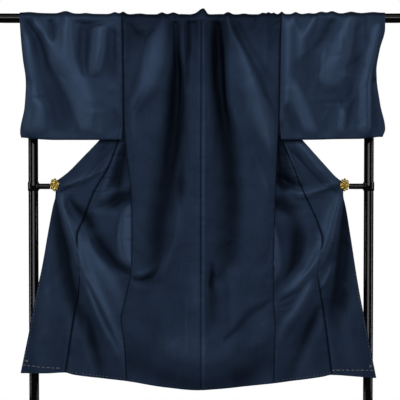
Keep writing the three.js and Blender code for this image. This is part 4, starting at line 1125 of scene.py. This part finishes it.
# Runs a row of stitches along each polyline.
def bastingTree():
    tree = bpy.data.node_groups.new("bastingRow", "GeometryNodeTree")
    kinds = {"Geometry": "Geometry", "Pitch": "Float", "Stitch Length": "Float", "Thread Radius": "Float",
             "Seed": "Int", "Thread": "Material"}
    for name, kind in kinds.items():
        tree.interface.new_socket(name, in_out="INPUT", socket_type="NodeSocket" + kind)
    tree.interface.new_socket("Geometry", in_out="OUTPUT", socket_type="NodeSocketGeometry")
    names = {
        "source": "NodeGroupInput",
        "path": "GeometryNodeMeshToCurve",
        "points": "GeometryNodeCurveToPoints",
        "facing": "FunctionNodeAlignRotationToVector",
        "bead": "GeometryNodeMeshUVSphere",
        "half": "ShaderNodeMath",
        "size": "ShaderNodeCombineXYZ",
        "shape": "GeometryNodeTransform",
        "uneven": "FunctionNodeRandomValue",
        "place": "GeometryNodeInstanceOnPoints",
        "real": "GeometryNodeRealizeInstances",
        "cover": "GeometryNodeSetMaterial",
        "result": "NodeGroupOutput",
    }
    node = {name: tree.nodes.new(kind) for name, kind in names.items()}
    node["points"].mode = "LENGTH"
    node["facing"].axis = "X"
    node["half"].operation = "MULTIPLY"
    node["uneven"].data_type = "FLOAT_VECTOR"
    settings = [("half", 1, 0.5), ("bead", "Segments", 6), ("bead", "Rings", 6), ("bead", "Radius", 1.0),
                ("uneven", "Min", (0.75, 0.85, 0.85)), ("uneven", "Max", (1.1, 1.1, 1.1))]
    for name, socket, value in settings:
        node[name].inputs[socket].default_value = value
    links = [
        ("source", "Geometry", "path", "Mesh"),
        ("path", "Curve", "points", "Curve"),
        ("source", "Pitch", "points", "Length"),
        ("points", "Tangent", "facing", "Vector"),
        ("source", "Stitch Length", "half", 0),
        ("half", 0, "size", "X"),
        ("source", "Thread Radius", "size", "Y"),
        ("source", "Thread Radius", "size", "Z"),
        ("bead", "Mesh", "shape", "Geometry"),
        ("size", 0, "shape", "Scale"),
        ("source", "Seed", "uneven", "Seed"),
        ("points", "Points", "place", "Points"),
        ("shape", "Geometry", "place", "Instance"),
        ("facing", "Rotation", "place", "Rotation"),
        ("uneven", "Value", "place", "Scale"),
        ("place", "Instances", "real", "Geometry"),
        ("real", "Geometry", "cover", "Geometry"),
        ("source", "Thread", "cover", "Material"),
        ("cover", "Geometry", "result", "Geometry"),
    ]
    for start, given, end, taken in links:
        tree.links.new(node[start].outputs[given], node[end].inputs[taken])
    return tree


# Points on the near face of a grid of cloth, by fraction across and by height in metres.
def onCloth(grid, whole, across, heights):
    column = np.interp(across, acrossWidth(whole)[0], np.arange(grid.shape[1]))
    points = []
    for c, height in zip(column, heights):
        j = min(int(c), grid.shape[1] - 2)
        line = mix(grid[:, j], grid[:, j + 1], c - j)
        points.append([np.interp(-height, -line[:, 2], line[:, axis]) for axis in range(3)])
    away = (cloth["thickness"] / 2 + basting["standOff"]) * mm
    return np.array(points) - (0, away, 0)


def stitchRow(tree, kind, points):
    mesh = bpy.data.meshes.new("stitchLine")
    mesh.from_pydata(points.tolist(), [(i, i + 1) for i in range(len(points) - 1)], [])
    row = placed("stitchLine", mesh)
    modifier = row.modifiers.new("basting", "NODES")
    modifier.node_group = tree
    values = {"Pitch": basting[kind]["pitch"] * mm, "Stitch Length": basting[kind]["length"] * mm,
              "Thread Radius": basting["threadRadius"] * mm, "Seed": basting["seed"],
              "Thread": finishes["thread"]}
    for item in tree.interface.items_tree:
        if item.in_out == "INPUT" and item.name in values:
            modifier[item.identifier] = values[item.name]
    evaluated = row.evaluated_get(bpy.context.evaluated_depsgraph_get())
    stitched = bpy.data.meshes.new_from_object(evaluated)
    bpy.data.objects.remove(row)
    return stitched


# Fractions across an overlap panel, for distances out from the middle at drops from the top.
def onPanel(side, out, drop):
    drop = np.minimum(drop, cloth["stretchTo"])
    inner, outer = read(okumiSeam[side], "drop", "out", drop), read(frontEdge[side], "drop", "out", drop)
    return np.clip((out - inner) / (outer - inner), 0.01, 0.99)


# Heights in metres at drops in millimetres.
def heightAt(drop):
    return clothTop - np.asarray(drop) * mm


def makeBasting(side, sign, tree):
    corner, panel = corners[side], okumiGrids[side]
    body = bodyGrids[side]
    lower = body[len(body) // 2:]
    drops = np.linspace(*corner["edge"], 90)
    across = np.full(90, 1 - basting["fromEdge"] / panelWidth["okumi"])
    rows = [("dots", onCloth(panel, panelWidth["okumi"], across, heightAt(drops)))]
    out = np.linspace(*corner["dashOut"], 40)
    drops = read(hemLine, "x", "drop", sign * out) - np.linspace(*corner["dashAbove"], 40)
    across = onPanel(side, out, drops + 30)
    rows.append(("dashes", onCloth(panel, panelWidth["okumi"], across, heightAt(drops))))
    x, drop = corner["cross"]
    for way in (-1, 1):
        out, drops = x + np.linspace(0, 8, 4), drop + way * np.linspace(0, 8, 4)
        across = onPanel(side, out, drops + 30)
        rows.append(("cross", onCloth(panel, panelWidth["okumi"], across, heightAt(drops))))
    out = np.linspace(*corner["hem"], 60)
    seam = read(okumiSeam[side], "drop", "out", cloth["stretchTo"])
    edge = read(sideLine[side], "drop", "out", cloth["stretchTo"])
    drops = read(hemLine, "x", "drop", sign * out) - basting["fromHem"]
    across = np.clip((seam - out) / (seam - edge), 0.01, 0.99)
    rows.append(("dots", onCloth(lower, panelWidth["body"], across, heightAt(drops))))
    shape = bmesh.new()
    for kind, points in rows:
        shape.from_mesh(stitchRow(tree, kind, points))
    mesh = bpy.data.meshes.new(f"basting_{side}")
    shape.to_mesh(mesh)
    shape.free()
    mesh.shade_smooth()
    finish(placed(f"basting_{side}", mesh), "thread")
    print(f"basting_{side}: {len(mesh.polygons)} faces")


tree = bastingTree()
for side, sign in sides.items():
    makeBasting(side, sign, tree)

rack = {"pole": 36, "post": 37, "arm": 11, "hookBend": 34, "edge": 1.2, "weld": 2.2, "sides": 64}
saddle = {"wall": 5, "gap": 0.3, "from": -192, "to": 12}
foot = {"roundTop": 3.5, "roundFoot": 1.5, "sides": 96}
jaws = {"thickness": 2.5, "round": 1.0}
rosette = {"petals": 8, "bead": 0.24, "crinkle": 0.55, "around": 112, "rings": 30}
edge, weld = rack["edge"], rack["weld"]


# A rod's ends are broken by a small bevel.
def rodRows(low, high, radius):
    return [(low, radius - edge), (low + 0.4 * edge, radius - 0.3 * edge), (low + edge, radius),
            (high - edge, radius), (high - 0.4 * edge, radius - 0.3 * edge), (high, radius - edge)]


# The pole sags as the cloth on it does.
low, high = limits("pole")
poleRadius = rack["pole"] / 2
poleAxis = high[2] - poleRadius
along = rodRows(low[0], high[0], poleRadius)[:3]
along += [(x, poleRadius) for x in np.linspace(low[0] + 12, -low[0] - 12, 65)]
poleRows = [(x, poleMiddleY / mm, poleAxis - bow(x), radius) for x, radius in along]
poleRows += [(-x, y, z, radius) for x, y, z, radius in poleRows[2::-1]]
pole = ringPiece("pole_tube", (circles(poleRows, (1, 0, 0), rack["sides"]), False))
finish(pole, "paint", "pole")
low, high = limits("low_rail")
middle, radius = (low + high) / 2, (high[2] - low[2]) / 2
rows = [(low[0], radius + weld), (low[0] + 0.6, radius + 0.8 * weld), (low[0] + 2.4, radius + 0.15 * weld),
        (low[0] + 3.4, radius)]
rows += [(-along, wide) for along, wide in rows[::-1]]
rail = ringPiece("low_rail_tube", (turned("x", middle, rows, rack["sides"]), False))
finish(rail, "paint", "low_rail")


def makePost(side):
    low, high = limits(f"post_{side}")
    middle, radius = (low + high) / 2, rack["post"] / 2
    rows = [(low[2], radius + weld), (low[2] + 0.7, radius + 0.8 * weld), (low[2] + 2.6, radius + 0.15 * weld),
            *rodRows(low[2] + 2.4, high[2], radius)[2:]]
    post = ringPiece(f"post_{side}_tube", (turned("z", middle, rows, rack["sides"]), False))
    finish(post, "paint", f"post_{side}")
    low, high = limits(f"post_cap_{side}")
    rows = [(low[2], radius - 0.6), (low[2] + 0.5, radius), (low[2] + 2.2, radius),
            (low[2] + 3.3, radius - 1.2), (high[2], radius - 4), (high[2] + 0.6, radius - 9),
            (high[2] + 0.8, 2)]
    plug = ringPiece(f"post_{side}_plug", (turned("z", middle, rows), False))
    finish(plug, "rubber", f"post_cap_{side}")
    low, high = limits(f"pole_cap_{side}")
    middle, radius = (low + high) / 2, (high[2] - low[2]) / 2
    inner, outer = sorted((low[0], high[0]), key=abs)
    profile = [(0, radius - 0.8), (0.15, radius), (0.6, radius), (0.85, radius - 1.4), (1, radius - 4),
               (1.02, 3)]
    rows = [(inner + (outer - inner) * along, wide) for along, wide in profile]
    plug = ringPiece(f"pole_{side}_plug", (turned("x", middle, rows), False))
    finish(plug, "rubber", f"pole_cap_{side}")


# Half of a ring's section, mirrored to the whole; each point is a radius and a level.
def mirrored(half):
    return np.array(half + [(radius, -level) for radius, level in half[::-1]])


# The ring round the post and the arm from it to the clip.
def makeSideArm(side, sign):
    low, high = limits(f"tee_{side}")
    post, radius = limits(f"post_{side}"), rack["post"] / 2 + 0.3
    middle = (post[0] + post[1]) / 2
    outer = (high[1] - low[1]) / 2
    half = (high[2] - low[2]) / 2
    level = (low[2] + high[2]) / 2
    section = mirrored([
        (radius, edge - half), (radius + 0.6, -half), (outer - edge, -half),
        (outer - 0.3 * edge, 0.4 * edge - half), (outer, edge - half)])
    turn = np.linspace(0, 2 * math.pi, rack["sides"], endpoint=False)[:, None]
    reach, levels = section[:, 0], level + section[:, 1] + 0 * turn
    around = np.stack([middle[0] + reach * np.cos(turn), middle[1] + reach * np.sin(turn), levels], axis=-1)
    arm = rack["arm"]
    start, end = sign * middle[0] - radius - 0.8, min(abs(low[0]), abs(high[0]))
    rows = [(start, arm + weld), (start - 2.2, arm + weld), (start - 3.4, arm + 0.4 * weld),
            (start - 4.6, arm), (end + edge, arm), (end + 0.4 * edge, arm - 0.3 * edge), (end, arm - edge)]
    rod = turned("x", (0, middle[1], level), [(sign * along, wide) for along, wide in rows])
    finish(ringPiece(f"side_arm_{side}", (around, True), (rod, False)), "paint", f"tee_{side}")


# The hooked arm behind the post's top, and the saddle that the pole lies in.
def makeUpperArm(side, sign):
    low, high = limits(f"upper_arm_{side}")
    radius = (high[2] - low[2]) / 2
    level, back, tip = (low[2] + high[2]) / 2, high[1] - radius, low[1]
    start, out = min(abs(low[0]), abs(high[0])), max(abs(low[0]), abs(high[0])) - radius
    bend = rack["hookBend"]
    straight = [(sign * x, back) for x in np.linspace(start, out - bend, 12)]
    corner = [(sign * (out - bend + bend * math.sin(a)), back - bend * (1 - math.cos(a)))
              for a in np.linspace(0, math.pi / 2, 14)[1:]]
    reach = [(sign * out, y) for y in np.linspace(back - bend, tip, 6)[1:]]
    rows = [(x, y, level, radius) for x, y in straight + corner + reach]
    rows[0], rows[-1] = (*rows[0][:3], radius + 1.2), (*rows[-1][:3], radius + 1.2)
    finish(ringPiece(f"hooked_arm_{side}", (circles(rows, None, 32), False)), "paint", f"upper_arm_{side}")
    low, high = limits(f"saddle_{side}")
    half, inner = (high[0] - low[0]) / 2, rack["pole"] / 2 + saddle["gap"]
    outer, place = inner + saddle["wall"], (low[0] + high[0]) / 2
    section = mirrored([
        (inner, 1 - half), (inner + 0.8, -half), (outer - 1.4, -half), (outer - 0.4, 0.5 - half),
        (outer, 1.6 - half)])
    turn = np.radians(np.linspace(saddle["from"], saddle["to"], 48))[:, None]
    reach = section[:, 0]
    loops = np.stack([place + section[:, 1] + 0 * turn, poleMiddleY / mm + reach * np.cos(turn),
                      poleAxis + reach * np.sin(turn)], axis=-1)
    finish(ringPiece(f"pole_saddle_{side}", (loops, False)), "paint", f"saddle_{side}")


def makeFoot(side):
    low, high = limits(f"foot_{side}")
    middle, half = (low + high) / 2, (high - low) / 2
    turn = np.linspace(0, 2 * math.pi, foot["sides"], endpoint=False)
    top, under = foot["roundTop"], foot["roundFoot"]
    levels = [(low[2], under), (low[2] + 0.3 * under, 0.3 * under), (low[2] + under, 0)]
    levels += [(high[2] - top + top * math.sin(a), top * (1 - math.cos(a)))
               for a in np.linspace(0, math.pi / 2, 6)]
    straight = half[1] - half[0]
    loops = [np.stack([middle[0] + (half[0] - inset) * np.cos(turn),
                       middle[1] + straight * np.sign(np.sin(turn + 1e-6)) + (half[0] - inset) * np.sin(turn),
                       level + 0 * turn], axis=-1) for level, inset in levels]
    finish(ringPiece(f"foot_{side}_bar", (np.array(loops), False)), "paint", f"foot_{side}")
    for end in ("front", "back"):
        low, high = limits(f"pad_{end}_{side}")
        middle, radius = (low + high) / 2, (high[0] - low[0]) / 2
        rows = [(low[2], 5), (low[2] + 0.5, 6), (low[2] + 0.5, 9), (low[2], 10), (low[2], radius - 0.8),
                (low[2] + 0.5, radius), (high[2] - 0.6, radius), (high[2], radius - 0.6)]
        pad = ringPiece(f"pad_{end}_{side}_disc", (turned("z", middle, rows), False))
        finish(pad, "rubber", f"pad_{end}_{side}")


# A sprung strip bent round at the arm's end, its two jaws shut on the collar.
def makeClip(side, sign):
    low, high = limits(f"clip_{side}")
    half, thickness = (high[2] - low[2]) / 2, jaws["thickness"]
    near, far = low[1] + thickness / 2 - 0.6, high[1] - thickness / 2
    tip, hinge = min(abs(low[0]), abs(high[0])), max(abs(low[0]), abs(high[0]))
    bend = (far - near) / 2
    turning = hinge - thickness / 2 - bend
    path = [(x, near) for x in np.linspace(tip, turning, 12)]
    path += [(turning + bend * math.sin(a), near + bend * (1 - math.cos(a)))
             for a in np.linspace(0, math.pi, 15)[1:-1]]
    path += [(x, far) for x in np.linspace(turning, tip, 12)]
    path = np.array([(sign * x, y) for x, y in path])
    along = np.gradient(path, axis=0)
    across = np.stack([along[:, 1], -along[:, 0]], axis=1) / np.linalg.norm(along, axis=1, keepdims=True)
    bevel, level = jaws["round"], (low[2] + high[2]) / 2
    around = [(1, -1, 1), (1, 1, 1), (0.4, 1, 0), (-0.4, 1, 0)]
    around += [(-s, -t, cut) for s, t, cut in around]
    section = [(s * thickness / 2 * (1 - 0.5 * cut), t * (half - bevel * cut)) for s, t, cut in around]
    section = np.array(section)
    flat = path[:, None] + across[:, None] * section[:, 0][:, None]
    loops = np.concatenate([flat, np.broadcast_to(level + section[:, 1], flat.shape[:2])[..., None]], axis=-1)
    finish(ringPiece(f"clip_{side}_jaws", (loops, False)), "gilt", f"clip_{side}")


# A crinkled rosette of beaten petals about a bead.
def makeRosette(side, seed):
    low, high = limits(f"ornament_{side}")
    random = np.random.default_rng(seed)
    middle, half, deep = (low + high) / 2, (high - low) / 2, high[1] - low[1]
    turn = np.linspace(0, 2 * math.pi, rosette["around"], endpoint=False)
    petal = np.abs(np.cos(rosette["petals"] * turn / 2 + 0.3))
    loops = []
    for reach in [1.0, *np.linspace(1, 0.03, rosette["rings"])]:
        lobe = 1 - 0.24 * reach * (1 - petal) ** 1.6
        x, z = half[0] * reach * lobe * np.cos(turn), half[2] * reach * lobe * np.sin(turn)
        dish = 0.35 + 0.45 * math.sin(math.pi * min(1, reach)) ** 0.6 * (0.45 + 0.55 * petal)
        bead = math.sqrt(max(0, 1 - (reach / rosette["bead"]) ** 2))
        y = high[1] - deep * np.maximum(dish, bead)
        loops.append(np.stack([middle[0] + x, y, middle[2] + z], axis=-1))
    loops = np.array(loops)
    loops[0, :, 1] = high[1]
    for wave in range(9):
        length, way, phase = random.uniform(3.5, 8), random.uniform(0, math.pi), random.uniform(0, 6)
        along = loops[1:, :, 0] * math.cos(way) + loops[1:, :, 2] * math.sin(way)
        loops[1:, :, 1] += rosette["crinkle"] * 0.45 * np.sin(2 * math.pi * along / length + phase)
    loops[1:, :, 1] = np.minimum(loops[1:, :, 1], high[1] - 0.4)
    finish(ringPiece(f"rosette_{side}", (loops, False), angle=50), "gilt", f"ornament_{side}")


for side, sign in sides.items():
    makePost(side)
    makeSideArm(side, sign)
    makeUpperArm(side, sign)
    makeFoot(side)
    makeClip(side, sign)
    makeRosette(side, 21 + sign)
print("rack made")

for name, node in frame["nodes"].items():
    slot = next(part["material_slot"] for part in frame["record"]["subparts"] if part["node"] == name)
    node.data.materials.clear()
    node.data.materials.append(finishes[slot])

# Camera, lights and floor.
view = {"distance": 5.2, "height": 1.08, "aim": 0.9, "middle": -0.004, "width": 1.5}
camera = placed("camera", bpy.data.cameras.new("camera"))
camera.location = (view["middle"], poleMiddleY - view["distance"], view["height"])
direction = Vector((0, view["distance"], view["aim"] - view["height"]))
camera.rotation_euler = direction.to_track_quat("-Z", "Y").to_euler()
camera.data.sensor_width = 36
camera.data.lens = 36 * view["distance"] / view["width"]
bpy.context.scene.camera = camera

# The floor fades out before it comes into the camera's frame.
disc = {"radius": 1.15, "middleY": -0.35, "sides": 96}
floorMesh = bpy.data.meshes.new("floor")
rim = [(disc["radius"] * math.cos(turn), disc["radius"] * math.sin(turn), 0)
       for turn in np.linspace(0, 2 * math.pi, disc["sides"], endpoint=False)]
floorMesh.from_pydata(rim, [], [range(disc["sides"])])
floor = placed("floor", floorMesh)
floor.location.y = disc["middleY"]
floorShader = Shader("paleFloor")
distance = floorShader.node("ShaderNodeVectorMath", {"operation": "LENGTH"}, floorShader.here(), output=1)
smoothly = {"interpolation_type": "SMOOTHSTEP"}
fading = floorShader.node("ShaderNodeMapRange", smoothly, distance, 0.5, disc["radius"], 1.0, 0.0)
floorMesh.materials.append(floorShader.give(Base_Color=(0.86, 0.86, 0.86, 1), Roughness=0.9, Alpha=fading))

lamps = [
    {"name": "frontBank", "from": (-0.2, -4.6, 2.4), "aim": (0, 0, 1.0), "size": (3.4, 2.2), "power": 125},
    {"name": "leftBank", "from": (-3.4, -0.6, 1.2), "aim": (0, 0, 1.2), "size": (0.2, 1.7), "power": 26},
    {"name": "rightBank", "from": (3.4, -0.6, 1.2), "aim": (0, 0, 1.2), "size": (0.2, 1.7), "power": 26},
    {"name": "topBank", "from": (0, -1.6, 3.8), "aim": (0, 0, 1.2), "size": (3.0, 1.0), "power": 10},
    {"name": "rearBank", "from": (0, 3.0, 2.6), "aim": (0, 0, 0.9), "size": (3.0, 1.6), "power": 60},
]
for lamp in lamps:
    light = bpy.data.lights.new(lamp["name"], "AREA")
    light.shape = "RECTANGLE"
    light.size, light.size_y = lamp["size"]
    light.energy = lamp["power"]
    holder = placed(lamp["name"], light)
    holder.location = lamp["from"]
    toward = Vector(lamp["aim"]) - holder.location
    holder.rotation_euler = toward.to_track_quat("-Z", "Y").to_euler()

# White to the eye, and a dimmer room for everything it lights.
world = bpy.data.worlds.new("studio")
world.use_nodes = True
sky = world.node_tree
backdrop = sky.nodes["Background"]
backdrop.inputs["Color"].default_value = (1, 1, 1, 1)
room = sky.nodes.new("ShaderNodeBackground")
room.inputs["Color"].default_value = (0.9, 0.95, 1, 1)
room.inputs["Strength"].default_value = 0.02
path, choice = sky.nodes.new("ShaderNodeLightPath"), sky.nodes.new("ShaderNodeMixShader")
sky.links.new(path.outputs["Is Camera Ray"], choice.inputs[0])
sky.links.new(room.outputs[0], choice.inputs[1])
sky.links.new(backdrop.outputs[0], choice.inputs[2])
sky.links.new(choice.outputs[0], sky.nodes["World Output"].inputs[0])
bpy.context.scene.world = world
bpy.context.scene.view_settings.view_transform = "Standard"
bpy.context.scene.view_settings.look = "None"
print("camera and lights placed")
